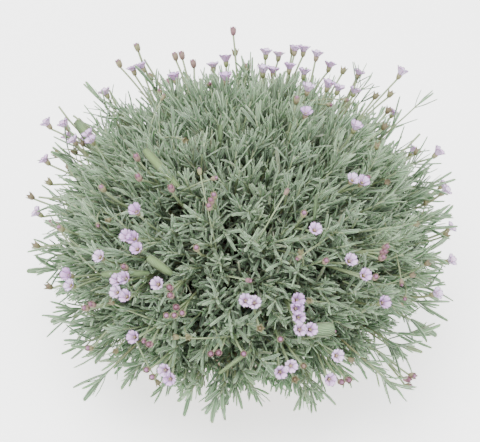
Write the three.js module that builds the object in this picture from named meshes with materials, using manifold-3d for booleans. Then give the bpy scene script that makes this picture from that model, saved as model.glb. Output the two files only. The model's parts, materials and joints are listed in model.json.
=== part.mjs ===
// A cushion of gypsophila in a plain clay pan, in millimetres, +Z up.
// The origin is the middle of the pan's flat underside.
import * as THREE from "three";
import { ConvexGeometry } from "three/addons/geometries/ConvexGeometry.js";
import { mergeVertices } from "three/addons/utils/BufferGeometryUtils.js";
import Module from "manifold-3d";

const wasm = await Module();
wasm.setup();

// The pan
const POT_HEIGHT = 52;
const POT_RIM_RADIUS = 57;
const POT_RIM_BAND = 12;
const POT_RIM_STEP = 2.5;
const POT_BASE_RADIUS = 40;
const POT_WALL = 4.5;
const POT_FLOOR = 6;
const POT_EDGE = 1.2;
const POT_SIDES = 26;
const DRAIN_HOLES = 4;
const DRAIN_RADIUS = 4;
const DRAIN_RING = 21;
const DRAIN_SIDES = 10;

// The soil and the woody crown that is rooted in it
const FIT_GAP = 0.35;
const SOIL_TOP = 48;
const SOIL_SIDES = 16;
const ROOT_TIP_HEIGHT = 12;
const CROWN_SIDES = 8;
const CROWN_RADIUS = 15;

// The cushion, measured to the leaf tips
const CUSHION_RADIUS = 106;
const CUSHION_RISE = 88;
const CUSHION_SKIRT = 40;
const CUSHION_LEVEL = 58;
const CENTRE = new THREE.Vector3(0, 0, CUSHION_LEVEL);

// The inner mass of stems and old leaves, as a share of the cushion
const CORE_SHARE = 0.48;
const ROOT_SHARE = 0.38;
const LEAVE_SHARE = 0.51;
const LOWEST_ROOT_LIFT = 0.09;
const CORE_POINTS = 76;
const CORE_RELIEF = 0.08;
const CORE_GAP = 0.6;
const RIM_CLEARANCE = 1.5;

// The sprigs that the cushion is divided into: one at the top and two rings round it
const UPPER_SPRIGS = 3;
const UPPER_SPRIG_LIFT = 46;
const LOWER_SPRIGS = 6;
const LOWER_SPRIG_LIFT = 8;

// Leafy shoots
const SHOOTS = 72;
const SHOOT_JITTER = 0.08;
const SHOOT_REACH = [0.84, 0.9];
const SHOOT_MARGIN = 2.2;
const LOWEST_LIFT = -0.42;
const GOLDEN_ANGLE = Math.PI * (3 - Math.sqrt(5));
const SHOOT_HALF_WIDTH = 1.15;
const SHOOT_TIP = 11;
const TUFTS = [0.14, 0.5, 1];
const LEAF_LENGTH = 21;
const LEAF_TIP_HALF_WIDTH = 0.9;
const LEAF_BAND = 1.3;
const LEAF_VARIATION = 0.15;
const INNER_SPREAD = 27;
const OUTER_SPREAD = 44;
const SPREAD_VARIATION = 0.2;
const FITTINGS = [1, 0.75, 0.5];
const CLEARANCE = 0.3;
const SQUARE_CORNER = 1.4;

// Flower stalks and heads
const STALK_HALF_WIDTH = 0.5;
const STALK_MARGIN = 2;
const KNUCKLE = 1.1;
const FORK_HIGHEST = 0.74;
const FORK_LOWEST = 0.3;
const FORK_DROP = 0.03;
const CALYX_LENGTH = 4.2;
const CALYX_HALF_WIDTH = 1.4;
const BUD_LENGTH = 3.2;
const BUD_SHARE = 0.85;
const COROLLA_RADIUS = 3.95;
const COROLLA_NOTCH = 2.9;
const COROLLA_DEPTH = 1.4;
const PETALS = 5;
const PETAL_CORNERS = [-0.5, -0.22, 0.22];
const LOW_UPTURN = 0.95;
const HIGH_UPTURN = 0.35;
const BLADE_HALF_WIDTH = 2.2;
const BLADE_HALF_THICKNESS = 0.45;
const BLADE_MARGIN = 3.2;

// The view in which the flower heads were placed: the eye looks down at the cushion's middle
const VIEW_LIFT = THREE.MathUtils.degToRad(42);
const VIEW_DISTANCE = 1000;
const SIGHT_STEP = 0.5;
const PICTURE_RIGHT = new THREE.Vector3(1, 0, 0);
const PICTURE_UP = new THREE.Vector3(0, Math.sin(VIEW_LIFT), Math.cos(VIEW_LIFT));
const TO_EYE = new THREE.Vector3(0, -Math.cos(VIEW_LIFT), Math.sin(VIEW_LIFT));
const HEAD_SHARE = 1.05;

// Stalks seen in that view, each a list of heads. at is right and up of the middle in mm; open,
// buds and spent hold offsets across and along the head's own face; back moves it from the eye.
const ONE = [[0, 0]];
const SPRAYS = [
  [{ at: [-107, 69], open: ONE }, { at: [-97, 68], open: ONE }],
  [{ at: [-84, 63], open: ONE }, { at: [-93, 55], spent: ONE }],
  [{ at: [-75, 86], open: ONE }],
  [{ at: [-60, 99], open: [[0, 0], [5.2, -2.4]] }, { at: [-68, 103], buds: ONE }],
  [{ at: [-58, 112], buds: ONE }],
  [
    { at: [-37, 94], open: ONE },
    { at: [-37, 107], buds: [[0, 0], [3.8, -1]] },
    { at: [-27, 103], buds: ONE },
  ],
  [{ at: [-16, 101], open: ONE }, { at: [-9, 104], open: ONE, back: 9 }, { at: [-9, 94], open: ONE }],
  [{ at: [-5, 121], buds: ONE }, { at: [-4, 110], spent: ONE, back: 8 }, { at: [3, 101], buds: ONE }],
  [
    { at: [13, 108], open: ONE },
    { at: [17, 98], open: [[0, 0], [-5.5, -2]] },
    { at: [20, 107], open: ONE, back: 9 },
  ],
  [{ at: [26, 100], open: ONE }, { at: [29, 110], open: [[0, 0], [5, 3]], spent: [[-1, 6.5]], back: 5 }],
  [{ at: [34, 97], open: ONE }, { at: [36, 88], open: ONE, back: -3 }],
  [{ at: [41, 107], open: ONE }, { at: [48, 101], open: ONE, back: 10 }],
  [{ at: [47, 90], open: [[0, 0], [6, 0]] }, { at: [56, 100], spent: ONE }],
  [{ at: [64, 97], open: ONE }],
  [{ at: [87, 97], open: ONE }, { at: [82, 87], spent: ONE }, { at: [74, 86], spent: ONE }],
  [{ at: [81, 78], spent: ONE }, { at: [79, 69], spent: ONE }, { at: [75, 58], spent: ONE }],
  [{ at: [107, 53], open: ONE }, { at: [97, 55], spent: ONE }],
  [{ at: [111, 32], open: ONE }],
  [{ at: [114, -6], open: ONE }, { at: [113, 9], spent: ONE }],
  [{ at: [106, -24], open: ONE }],
  [{ at: [35, 75], open: ONE }, { at: [30, 83], buds: ONE }],
  [{ at: [62, 67], open: ONE }],
  [{ at: [66, 37], open: [[0, 0], [-5.5, 0]] }],
  [{ at: [40, 11], open: ONE }, { at: [34, 20], buds: ONE }],
  [
    { at: [59, -6], open: ONE },
    { at: [67, -14], open: ONE, buds: [[6.4, 0]] },
    { at: [46, -6], buds: ONE },
  ],
  [{ at: [77, -29], open: ONE }],
  [{ at: [31, -37], open: [[0, 0], [-1.2, 4.4], [-0.6, 8.6], [0.6, -6.1], [6, -6]] }],
  [{ at: [52, -58], open: ONE }, { at: [48, -71], open: ONE, buds: [[6.4, -1.5], [10.4, -0.5]] }],
  [
    { at: [21, -67], open: [[0, 0], [5.4, 3]], buds: [[11.8, 3]], spent: [[7.6, -3.8]] },
    { at: [21, -49], buds: ONE },
  ],
  [{ at: [2, -28], open: [[0, 0], [4.3, -1]] }, { at: [10, -43], spent: ONE }],
  [{ at: [-46, -19], open: ONE, buds: [[6.2, -2], [6.6, -6]] }],
  [{ at: [-68, -17], open: [[0, 0], [4.3, 0.6], [-0.4, -6.1], [5, -8.8]], buds: [[3.4, 6.8]] }],
  [{ at: [-78, -4], open: ONE }],
  [{ at: [-63, 7], open: [[0, 0], [3.9, -1.8], [5.8, -7.6]] }, { at: [-58, 21], open: ONE }],
  [{ at: [-95, -14], open: [[0, 0], [1.5, -6]] }, { at: [-107, -20], spent: ONE }],
  [{ at: [-59, -48], open: ONE, buds: [[8.3, -3.6]] }],
  [{ at: [-42, -66], open: [[0, 0], [2.6, -4.4]], buds: [[-9.8, 0], [-6.8, -3.6]] }],
  [{ at: [-108, 49], open: ONE, spent: [[6.6, 1]] }, { at: [-107, 38], spent: ONE }],
  [{ at: [-112, 20], open: ONE }, { at: [-117, 30], spent: ONE }],
  [{ at: [-100, 12], buds: ONE }, { at: [-114, 3], spent: ONE }],
  [{ at: [91, -71], buds: [[0, 0], [3.8, 1.5], [1, -3.8]] }],
  [{ at: [78, -1], buds: [[0, 0], [0.5, 4], [0, -4]] }],
  [{ at: [-17, -57], buds: [[0, 0], [4, 0.5]] }, { at: [1, -57], buds: ONE }],
  [{ at: [-37, -36], buds: [[-4, 0], [0, 0], [4, 1], [1, 4]] }],
  [{ at: [-25, 1], buds: ONE }],
  [{ at: [-57, 40], buds: ONE }, { at: [-58, 51], buds: ONE }],
  [{ at: [-39, 34], buds: ONE }],
  [{ at: [-77, 34], buds: ONE }],
  [{ at: [-17, 27], buds: [[0, 0], [0.6, 4.2], [0.4, -4.2]] }],
  [{ at: [-86, -32], buds: [[0, 0], [4, 1.5]] }, { at: [-84, -54], buds: ONE }],
];

// Broad pale blades among the narrow leaves, placed in the same view
const BROAD_BLADES = [[-53, 54], [-56, -7], [-72, -11], [46, -46], [-93, 68], [-14, 70], [-12, -66]];

// Heads on the side that the view does not show
const FAR_HEADS = 18;
const FAR_LIFT = [0.02, 0.72];
const FAR_SHARE = [1.05, 1.15];
const FAR_TURN = 0.92;

// Colours of the finishes
const CLAY = new THREE.MeshStandardMaterial({ color: 0xb0694a, roughness: 0.85, metalness: 0 });
const EARTH = new THREE.MeshStandardMaterial({ color: 0x3b2c22, roughness: 1, metalness: 0 });
const BARK = new THREE.MeshStandardMaterial({ color: 0x6d5a45, roughness: 0.95, metalness: 0 });
const LEAF = new THREE.MeshStandardMaterial({ color: 0x7d9478, roughness: 0.75, metalness: 0 });
const PETAL = new THREE.MeshStandardMaterial({ color: 0xdccbe8, roughness: 0.6, metalness: 0 });

// A repeatable number from 0 to 1 for a piece and a purpose.
function chance(index, purpose) {
  let mixed = Math.imul(index + 1, 0x9e3779b1) ^ Math.imul(purpose + 1, 0x85ebca77);
  mixed = Math.imul(mixed ^ (mixed >>> 15), 0x2c1b3c6d);
  mixed = Math.imul(mixed ^ (mixed >>> 12), 0x297a2d39);
  return ((mixed ^ (mixed >>> 15)) >>> 0) / 4294967296;
}

function between(low, high, share) {
  return low + (high - low) * share;
}

// A closed indexed geometry from corner points and three-cornered faces.
function shellGeometry(points, faces) {
  const geometry = new THREE.BufferGeometry();
  const places = points.flatMap((point) => [point.x, point.y, point.z]);
  geometry.setAttribute("position", new THREE.Float32BufferAttribute(places, 3));
  geometry.setIndex(faces.flat());
  return geometry;
}

function toSolid(geometry) {
  const bare = geometry.clone();
  bare.deleteAttribute("normal");
  bare.deleteAttribute("uv");
  const merged = mergeVertices(bare);
  const mesh = new wasm.Mesh({
    numProp: 3,
    vertProperties: merged.attributes.position.array,
    triVerts: new Uint32Array(merged.index.array),
  });
  return new wasm.Manifold(mesh);
}

function toMesh(name, solid, material) {
  const mesh = solid.getMesh();
  const geometry = new THREE.BufferGeometry();
  geometry.setAttribute("position", new THREE.Float32BufferAttribute(mesh.vertProperties, 3));
  geometry.setIndex(new THREE.Uint32BufferAttribute(mesh.triVerts, 1));
  geometry.computeVertexNormals();
  const named = new THREE.Mesh(geometry, material);
  named.name = name;
  return named;
}

// A solid turned about Z from [radius, height] pairs that start and end on the axis.
function turned(profile, sides) {
  const outline = profile.map(([radius, height]) => new THREE.Vector2(radius, height));
  return toSolid(new THREE.LatheGeometry(outline, sides).rotateX(Math.PI / 2));
}

// Where the pan's inner wall stands at a height.
function potInside(height) {
  const share = height / POT_HEIGHT;
  return between(POT_BASE_RADIUS, POT_RIM_RADIUS - POT_RIM_STEP, share) - POT_WALL;
}

function buildPot() {
  const bandHeight = POT_HEIGHT - POT_RIM_BAND;
  const wallAtBand = potInside(bandHeight) + POT_WALL;
  let pot = turned(
    [
      [0, 0],
      [POT_BASE_RADIUS, 0],
      [wallAtBand, bandHeight],
      [POT_RIM_RADIUS - POT_EDGE, bandHeight],
      [POT_RIM_RADIUS, bandHeight + POT_EDGE],
      [POT_RIM_RADIUS, POT_HEIGHT - POT_EDGE],
      [POT_RIM_RADIUS - POT_EDGE, POT_HEIGHT],
      [potInside(POT_HEIGHT) + POT_EDGE, POT_HEIGHT],
      [potInside(POT_HEIGHT), POT_HEIGHT - POT_EDGE],
      [potInside(POT_FLOOR), POT_FLOOR],
      [0, POT_FLOOR],
    ],
    POT_SIDES,
  );
  for (let i = 0; i < DRAIN_HOLES; i++) {
    const angle = ((i + 0.5) / DRAIN_HOLES) * 2 * Math.PI;
    const length = 3 * POT_FLOOR;
    const drill = new THREE.CylinderGeometry(DRAIN_RADIUS, DRAIN_RADIUS, length, DRAIN_SIDES);
    drill.rotateX(Math.PI / 2);
    drill.translate(DRAIN_RING * Math.cos(angle), DRAIN_RING * Math.sin(angle), 0);
    pot = pot.subtract(toSolid(drill));
  }
  return pot;
}

// The woody crown: a tap root that widens into a knob at the cushion's middle.
function crownBody(grow) {
  return turned(
    [
      [0, ROOT_TIP_HEIGHT - grow],
      [1.5 + grow, ROOT_TIP_HEIGHT - grow],
      [5.5 + grow, SOIL_TOP - 6],
      [8 + grow, SOIL_TOP],
      [CROWN_RADIUS - 2 + grow, CUSHION_LEVEL - 6],
      [CROWN_RADIUS + grow, CUSHION_LEVEL],
      [CROWN_RADIUS - 3 + grow, CUSHION_LEVEL + 8],
      [CROWN_RADIUS - 9 + grow, CUSHION_LEVEL + 13 + grow],
      [0, CUSHION_LEVEL + 14 + grow],
    ],
    CROWN_SIDES,
  );
}

function buildSoil() {
  const fill = turned(
    [
      [0, POT_FLOOR + FIT_GAP],
      [potInside(POT_FLOOR) - FIT_GAP, POT_FLOOR + FIT_GAP],
      [potInside(SOIL_TOP - 1) - FIT_GAP, SOIL_TOP - 1],
      [potInside(SOIL_TOP) - 3, SOIL_TOP],
      [0, SOIL_TOP],
    ],
    SOIL_SIDES,
  );
  return fill.subtract(crownBody(FIT_GAP));
}

// A point of the cushion: azimuth round it, lift from 1 at the top to below 0, share of the way out.
function cushionPoint(azimuth, lift, share) {
  const level = Math.sqrt(1 - lift * lift) * CUSHION_RADIUS * share;
  const height = lift * (lift > 0 ? CUSHION_RISE : CUSHION_SKIRT) * share;
  return new THREE.Vector3(level * Math.cos(azimuth), level * Math.sin(azimuth), height).add(CENTRE);
}

// The azimuth, lift and share at which a point lies.
function cushionPlace(point) {
  const out = point.clone().sub(CENTRE);
  const height = out.z / (out.z > 0 ? CUSHION_RISE : CUSHION_SKIRT);
  const level = Math.hypot(out.x, out.y) / CUSHION_RADIUS;
  const share = Math.hypot(height, level);
  return { azimuth: Math.atan2(out.y, out.x), lift: height / share, share };
}

// The way that the cushion's surface faces at a point.
function cushionFacing(point) {
  const out = point.clone().sub(CENTRE);
  const depth = out.z > 0 ? CUSHION_RISE : CUSHION_SKIRT;
  out.x /= CUSHION_RADIUS * CUSHION_RADIUS;
  out.y /= CUSHION_RADIUS * CUSHION_RADIUS;
  out.z /= depth * depth;
  return out.normalize();
}

// Follows the line of sight through a point of the picture to the given share of the cushion,
// or to where the line passes nearest to it.
function placeInView(right, up, share, back) {
  const eye = CENTRE.clone().addScaledVector(TO_EYE, VIEW_DISTANCE);
  const aim = CENTRE.clone().addScaledVector(PICTURE_RIGHT, right).addScaledVector(PICTURE_UP, up);
  const sight = aim.clone().sub(eye).normalize();
  let nearest = null;
  const half = 2 * CUSHION_RADIUS;
  for (let step = VIEW_DISTANCE - half; step < VIEW_DISTANCE + half; step += SIGHT_STEP) {
    const point = eye.clone().addScaledVector(sight, step);
    const reach = cushionPlace(point).share;
    if (!nearest || reach < nearest.reach) nearest = { point, reach };
    if (reach < share) break;
  }
  return nearest.point.addScaledVector(sight, back);
}

// The directions of the sprigs' middles.
function sprigDirections() {
  const rings = [
    { count: 1, lift: 90, turn: 0 },
    { count: UPPER_SPRIGS, lift: UPPER_SPRIG_LIFT, turn: 0.25 },
    { count: LOWER_SPRIGS, lift: LOWER_SPRIG_LIFT, turn: 0.5 },
  ];
  const directions = [];
  for (const ring of rings) {
    const lift = THREE.MathUtils.degToRad(ring.lift);
    for (let i = 0; i < ring.count; i++) {
      const azimuth = ((i + ring.turn) / ring.count) * 2 * Math.PI;
      const level = Math.cos(lift);
      directions.push(
        new THREE.Vector3(level * Math.cos(azimuth), level * Math.sin(azimuth), Math.sin(lift)),
      );
    }
  }
  return directions;
}

const SPRIG_DIRECTIONS = sprigDirections();

function sprigOf(point) {
  const out = point.clone().sub(CENTRE);
  const nearness = SPRIG_DIRECTIONS.map((direction) => direction.dot(out));
  return nearness.indexOf(Math.max(...nearness));
}

// The planes between a sprig and its neighbours, each facing out of the sprig.
function sprigPlanes(sprig) {
  const own = SPRIG_DIRECTIONS[sprig];
  return SPRIG_DIRECTIONS.filter((other) => other !== own).map((other) =>
    other.clone().sub(own).normalize(),
  );
}

// Moves a point until it lies a margin inside its sprig.
function insideSprig(point, sprig, margin) {
  const moved = point.clone();
  const planes = sprigPlanes(sprig);
  for (let round = 0; round < 6; round++) {
    for (const facing of planes) {
      const past = moved.clone().sub(CENTRE).dot(facing) + margin;
      if (past > 0) moved.addScaledVector(facing, -past);
    }
  }
  return moved;
}

// Directions spread evenly round a ball from its top down to a lift.
function evenDirections(count, lowest) {
  const directions = [];
  for (let i = 0; i < count; i++) {
    const lift = 1 - ((i + 0.5) / count) * (1 - lowest);
    const level = Math.sqrt(1 - lift * lift);
    const azimuth = i * GOLDEN_ANGLE;
    directions.push(
      new THREE.Vector3(level * Math.cos(azimuth), level * Math.sin(azimuth), lift),
    );
  }
  return directions;
}

// The inner mass of old leaves: a lumpy dome over the soil that clears the pan's rim.
function coreMass() {
  const hull = new ConvexGeometry(evenDirections(CORE_POINTS, -1));
  hull.deleteAttribute("normal");
  const mass = mergeVertices(hull);
  const place = mass.attributes.position;
  for (let i = 0; i < place.count; i++) {
    const way = new THREE.Vector3().fromBufferAttribute(place, i);
    const share = between(1 - CORE_RELIEF, 1 + CORE_RELIEF, chance(i, 11)) * CORE_SHARE;
    const point = cushionPoint(Math.atan2(way.y, way.x), way.z, share);
    place.setXYZ(i, point.x, point.y, point.z);
  }
  const under = new THREE.BoxGeometry(4 * CUSHION_RADIUS, 4 * CUSHION_RADIUS, CUSHION_RADIUS);
  under.translate(0, 0, POT_HEIGHT + RIM_CLEARANCE - CUSHION_RADIUS / 2);
  return toSolid(mass).subtract(toSolid(under));
}

// Cuts away what lies past a plane that stands a little behind the cushion's middle.
function cutPast(solid, facing, behind) {
  const size = 6 * CUSHION_RADIUS;
  const block = new THREE.BoxGeometry(size, size, size);
  block.translate(0, 0, size / 2 - behind);
  block.applyQuaternion(
    new THREE.Quaternion().setFromUnitVectors(new THREE.Vector3(0, 0, 1), facing),
  );
  block.translate(CENTRE.x, CENTRE.y, CENTRE.z);
  return solid.subtract(toSolid(block));
}

function buildCores() {
  const mass = coreMass().subtract(crownBody(FIT_GAP));
  return SPRIG_DIRECTIONS.map((direction, sprig) => {
    let core = mass;
    for (const facing of sprigPlanes(sprig)) core = cutPast(core, facing, CORE_GAP / 2);
    return core;
  });
}

// A closed surface under construction: its corner points and three-cornered faces.
class Shell {
  points = [];
  faces = [];

  add(point) {
    this.points.push(point);
    return this.points.length - 1;
  }

  square(a, b, c, d) {
    this.faces.push([a, b, c], [a, c, d]);
  }

  solid() {
    return toSolid(shellGeometry(this.points, this.faces));
  }
}

// A direction square to a stem, as near as can be to a hint.
function squareTo(along, hint) {
  return hint.clone().addScaledVector(along, -hint.dot(along)).normalize();
}

// Four corners round a centre, anticlockwise as seen from the stem's tip.
function addRing(shell, centre, along, hint, wide, thick = wide) {
  const across = squareTo(along, hint);
  const above = new THREE.Vector3().crossVectors(along, across);
  const corners = [
    [-1, -1],
    [1, -1],
    [1, 1],
    [-1, 1],
  ];
  return corners.map(([right, up]) =>
    shell.add(
      centre
        .clone()
        .addScaledVector(across, right * wide)
        .addScaledVector(above, up * thick),
    ),
  );
}

// Joins two rings with four faces, or with what grows out of a face.
function addBand(shell, low, high, growths = []) {
  for (let side = 0; side < 4; side++) {
    const next = (side + 1) % 4;
    const corners = [low[side], low[next], high[next], high[side]];
    if (growths[side]) growths[side](corners);
    else shell.square(...corners);
  }
}

function addPoint(shell, ring, tip) {
  const top = shell.add(tip);
  for (let side = 0; side < 4; side++) shell.faces.push([ring[side], ring[(side + 1) % 4], top]);
}

// A linear leaf raised from a face: it thins to a blunt edge.
function addLeaf(shell, corners, tip) {
  const [lowLeft, lowRight, highRight, highLeft] = corners;
  const level = shell.points[lowRight].clone().sub(shell.points[lowLeft]).normalize();
  const left = shell.add(tip.clone().addScaledVector(level, -LEAF_TIP_HALF_WIDTH));
  const right = shell.add(tip.clone().addScaledVector(level, LEAF_TIP_HALF_WIDTH));
  shell.square(lowLeft, lowRight, right, left);
  shell.square(highRight, highLeft, left, right);
  shell.faces.push([lowRight, highRight, right], [highLeft, lowLeft, left]);
}

// A limb grown from a face through stations of {centre, half}; a half of 0 ends it in a point.
function addLimb(shell, corners, stations) {
  const [lowLeft, lowRight, highRight] = corners.map((corner) => shell.points[corner]);
  const level = lowRight.clone().sub(lowLeft);
  let ring = corners;
  let before = lowLeft.clone().add(highRight).multiplyScalar(0.5);
  stations.forEach(({ centre, half }, i) => {
    const after = stations[i + 1]?.centre ?? centre;
    if (half === 0) {
      addPoint(shell, ring, centre);
      return;
    }
    const along = after.clone().sub(before).normalize();
    const next = addRing(shell, centre, along, level, half);
    addBand(shell, ring, next);
    ring = next;
    before = centre;
    if (i === stations.length - 1) shell.square(...ring);
  });
}

// The shortest distance between two straight pieces.
function gapBetween(a, b) {
  const u = a.to.clone().sub(a.from);
  const v = b.to.clone().sub(b.from);
  const w = a.from.clone().sub(b.from);
  const uu = u.dot(u);
  const uv = u.dot(v);
  const vv = v.dot(v);
  const uw = u.dot(w);
  const vw = v.dot(w);
  const spread = uu * vv - uv * uv;
  let s = spread < 1e-9 ? 0 : THREE.MathUtils.clamp((uv * vw - vv * uw) / spread, 0, 1);
  let t = (uv * s + vw) / vv;
  if (t < 0 || t > 1) {
    t = THREE.MathUtils.clamp(t, 0, 1);
    s = THREE.MathUtils.clamp((uv * t - uw) / uu, 0, 1);
  }
  const near = a.from.clone().addScaledVector(u, s);
  return near.distanceTo(b.from.clone().addScaledVector(v, t));
}

// What already stands in the cushion: straight pieces with a radius and an owner.
const taken = [];

function isClear(piece) {
  return taken.every(
    (other) =>
      other.owner === piece.owner ||
      gapBetween(piece, other) > piece.radius + other.radius + CLEARANCE,
  );
}

function take(piece) {
  taken.push(piece);
}

// The way that a head faces: out of the cushion, turned up towards the light.
function headFacing(point) {
  const facing = cushionFacing(point);
  const upward = between(LOW_UPTURN, HIGH_UPTURN, THREE.MathUtils.clamp(facing.z + 0.3, 0, 1));
  return facing.add(new THREE.Vector3(0, 0, upward)).normalize();
}

function headAxes(facing) {
  const across = squareTo(facing, PICTURE_RIGHT);
  const along = new THREE.Vector3().crossVectors(facing, across);
  return { across, along };
}

// A head in space: its middle, the way it faces, and where each of its flowers sits.
function planHead(head, point) {
  const facing = headFacing(point);
  const { across, along } = headAxes(facing);
  const place = (kind) => ([right, up]) => ({
    kind,
    facing,
    across,
    along,
    centre: point.clone().addScaledVector(across, right).addScaledVector(along, up),
  });
  return [
    ...(head.open ?? []).map(place("open")),
    ...(head.buds ?? []).map(place("bud")),
    ...(head.spent ?? []).map(place("spent")),
  ];
}

// A stalk with its heads, each a list of flowers.
function planSpray(heads, owner, fused) {
  const middle = new THREE.Vector3();
  const flowers = heads.flat();
  for (const flower of flowers) middle.addScaledVector(flower.centre, 1 / flowers.length);
  return { heads, flowers, middle, owner, fused, sprig: sprigOf(middle) };
}

function planSprays() {
  const plans = SPRAYS.map((heads, i) =>
    planSpray(
      heads.map((head) => planHead(head, placeInView(...head.at, HEAD_SHARE, head.back ?? 0))),
      `spray ${i}`,
      false,
    ),
  );
  for (let i = 0; i < FAR_HEADS; i++) {
    const lift = between(...FAR_LIFT, (i + 0.5) / FAR_HEADS);
    const azimuth = Math.PI / 2 + (((i * GOLDEN_ANGLE) % Math.PI) - Math.PI / 2) * FAR_TURN;
    const point = cushionPoint(azimuth, lift, between(...FAR_SHARE, chance(i, 40)));
    const kind = ["open", "open", "buds", "spent"][i % 4];
    plans.push(planSpray([planHead({ [kind]: ONE }, point)], `far spray ${i}`, true));
  }
  return plans;
}

// The pedicel and calyx of a flower, and the petals' point of a bud.
function flowerStations(flower) {
  const seat = flower.centre.clone().addScaledVector(flower.facing, -FIT_GAP);
  const neck = seat.clone().addScaledVector(flower.facing, -CALYX_LENGTH);
  const stations = [
    { centre: neck, half: STALK_HALF_WIDTH },
    { centre: seat, half: CALYX_HALF_WIDTH * (flower.kind === "bud" ? BUD_SHARE : 1) },
  ];
  if (flower.kind === "bud") {
    stations.push({ centre: seat.clone().addScaledVector(flower.facing, BUD_LENGTH), half: 0 });
  }
  return stations;
}

// Takes the room of a flower and its pedicel.
function takeFlower(flower, from, owner) {
  const [neck, seat] = flowerStations(flower).map((station) => station.centre);
  const top = seat.clone().addScaledVector(flower.facing, BUD_LENGTH);
  const calyx = SQUARE_CORNER * CALYX_HALF_WIDTH;
  const radius = flower.kind === "open" ? COROLLA_RADIUS : calyx;
  take({ from, to: neck, radius: SQUARE_CORNER * STALK_HALF_WIDTH, owner });
  take({ from: neck, to: seat, radius: calyx, owner });
  take({ from: seat, to: top, radius, owner });
}

// Where a stem is rooted in the inner mass and where it leaves it, a margin inside its sprig.
function planRoot({ azimuth, lift }, sprig, margin) {
  const rootLift = Math.max(lift, LOWEST_ROOT_LIFT);
  return [ROOT_SHARE, LEAVE_SHARE].map((share) =>
    insideSprig(cushionPoint(azimuth, rootLift, share), sprig, margin),
  );
}

// The stalk of a spray. A single flower ends it; several grow from the faces of knuckles near its
// top, the widest ones from the lowest knuckle.
function spraySolid(plan) {
  const { flowers, middle, sprig, owner } = plan;
  const place = cushionPlace(middle);
  const [root, leave] = planRoot(place, sprig, STALK_MARGIN);
  const shell = new Shell();
  const stalk = STALK_HALF_WIDTH;
  const start = leave.clone().sub(root).normalize();
  const base = addRing(shell, root, start, PICTURE_RIGHT, stalk);
  shell.square(base[0], base[3], base[2], base[1]);
  if (flowers.length === 1) {
    addLimb(shell, base, flowerStations(flowers[0]));
    takeFlower(flowers[0], leave, owner);
    return shell.solid();
  }
  const spread = Math.max(...flowers.map((flower) => flower.centre.distanceTo(middle)));
  const forkShare = Math.max(FORK_HIGHEST - FORK_DROP * spread, FORK_LOWEST);
  const fork = leave.clone().lerp(middle, forkShare);
  const axis = fork.clone().sub(leave).normalize();
  const knuckles = Math.ceil((flowers.length - 1) / 3);
  const level = (i) => fork.clone().addScaledVector(axis, (i - 2 * knuckles + 1) * KNUCKLE);
  const rings = [base, addRing(shell, leave, start, PICTURE_RIGHT, stalk)];
  for (let i = 0; i < 2 * knuckles; i++) {
    rings.push(addRing(shell, level(i), axis, PICTURE_RIGHT, stalk));
  }
  take({ from: leave, to: fork, radius: SQUARE_CORNER * stalk, owner });
  const sideways = (flower) => squareTo(axis, flower.centre.clone().sub(fork));
  const offAxis = (flower) => {
    const away = flower.centre.clone().sub(fork);
    return away.addScaledVector(axis, -away.dot(axis)).length();
  };
  const waiting = [...flowers].sort((a, b) => offAxis(a) - offAxis(b));
  const top = waiting.shift();
  const sites = [];
  for (let knuckle = knuckles - 1; knuckle >= 0; knuckle--) {
    const ring = rings[2 + 2 * knuckle];
    for (let side = 0; side < 4; side++) {
      const edge = shell.points[ring[side]].clone().lerp(shell.points[ring[(side + 1) % 4]], 0.5);
      const out = squareTo(axis, edge.sub(level(2 * knuckle)));
      sites.push({ knuckle, side, out, flower: null });
    }
  }
  for (const flower of waiting) {
    const fit = (site) => site.out.dot(sideways(flower)) + 0.3 * site.knuckle;
    const free = sites.filter((site) => !site.flower);
    free.reduce((best, site) => (fit(site) > fit(best) ? site : best)).flower = flower;
  }
  addBand(shell, rings[0], rings[1]);
  for (let i = 1; i < rings.length - 1; i++) {
    const knuckle = i % 2 === 0 ? i / 2 - 1 : -1;
    const growths = [0, 1, 2, 3].map((side) => {
      const site = sites.find((each) => each.knuckle === knuckle && each.side === side);
      if (!site?.flower) return null;
      return (corners) => addLimb(shell, corners, flowerStations(site.flower));
    });
    addBand(shell, rings[i], rings[i + 1], growths);
  }
  addLimb(shell, rings[rings.length - 1], flowerStations(top));
  for (const flower of flowers) takeFlower(flower, fork, owner);
  return shell.solid();
}

// A five-petalled corolla: a shallow funnel with two corners to a petal and a notch between petals.
function corollaGeometry(centre, facing, across, turn) {
  const along = new THREE.Vector3().crossVectors(facing, across);
  const points = [
    centre.clone().addScaledVector(facing, COROLLA_DEPTH * 0.86),
    centre.clone(),
  ];
  const corners = 3 * PETALS;
  for (let i = 0; i < corners; i++) {
    const petal = Math.floor(i / 3);
    const angle = turn + ((petal + PETAL_CORNERS[i % 3]) / PETALS) * 2 * Math.PI;
    const radius = i % 3 === 0 ? COROLLA_NOTCH : COROLLA_RADIUS;
    points.push(
      centre
        .clone()
        .addScaledVector(facing, COROLLA_DEPTH * (i % 3 === 0 ? 0.9 : 1))
        .addScaledVector(across, radius * Math.cos(angle))
        .addScaledVector(along, radius * Math.sin(angle)),
    );
  }
  const faces = [];
  for (let i = 0; i < corners; i++) {
    const here = 2 + i;
    const next = 2 + ((i + 1) % corners);
    faces.push([0, here, next], [1, next, here]);
  }
  return shellGeometry(points, faces);
}

// The corollas of a head's open flowers; each turns a petal towards the one before it.
function headCorollas(head, fused) {
  const open = head.filter((flower) => flower.kind === "open");
  return open.map((flower, i) => {
    const toPrevious = open[Math.max(i - 1, 0)].centre.clone().sub(flower.centre);
    const turn = i
      ? Math.atan2(toPrevious.dot(flower.along), toPrevious.dot(flower.across))
      : chance(Math.round(flower.centre.x + 200), 7) * 2 * Math.PI;
    const centre = flower.centre.clone().addScaledVector(flower.facing, fused ? -2 * FIT_GAP : 0);
    return toSolid(corollaGeometry(centre, flower.facing, flower.across, turn));
  });
}

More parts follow.
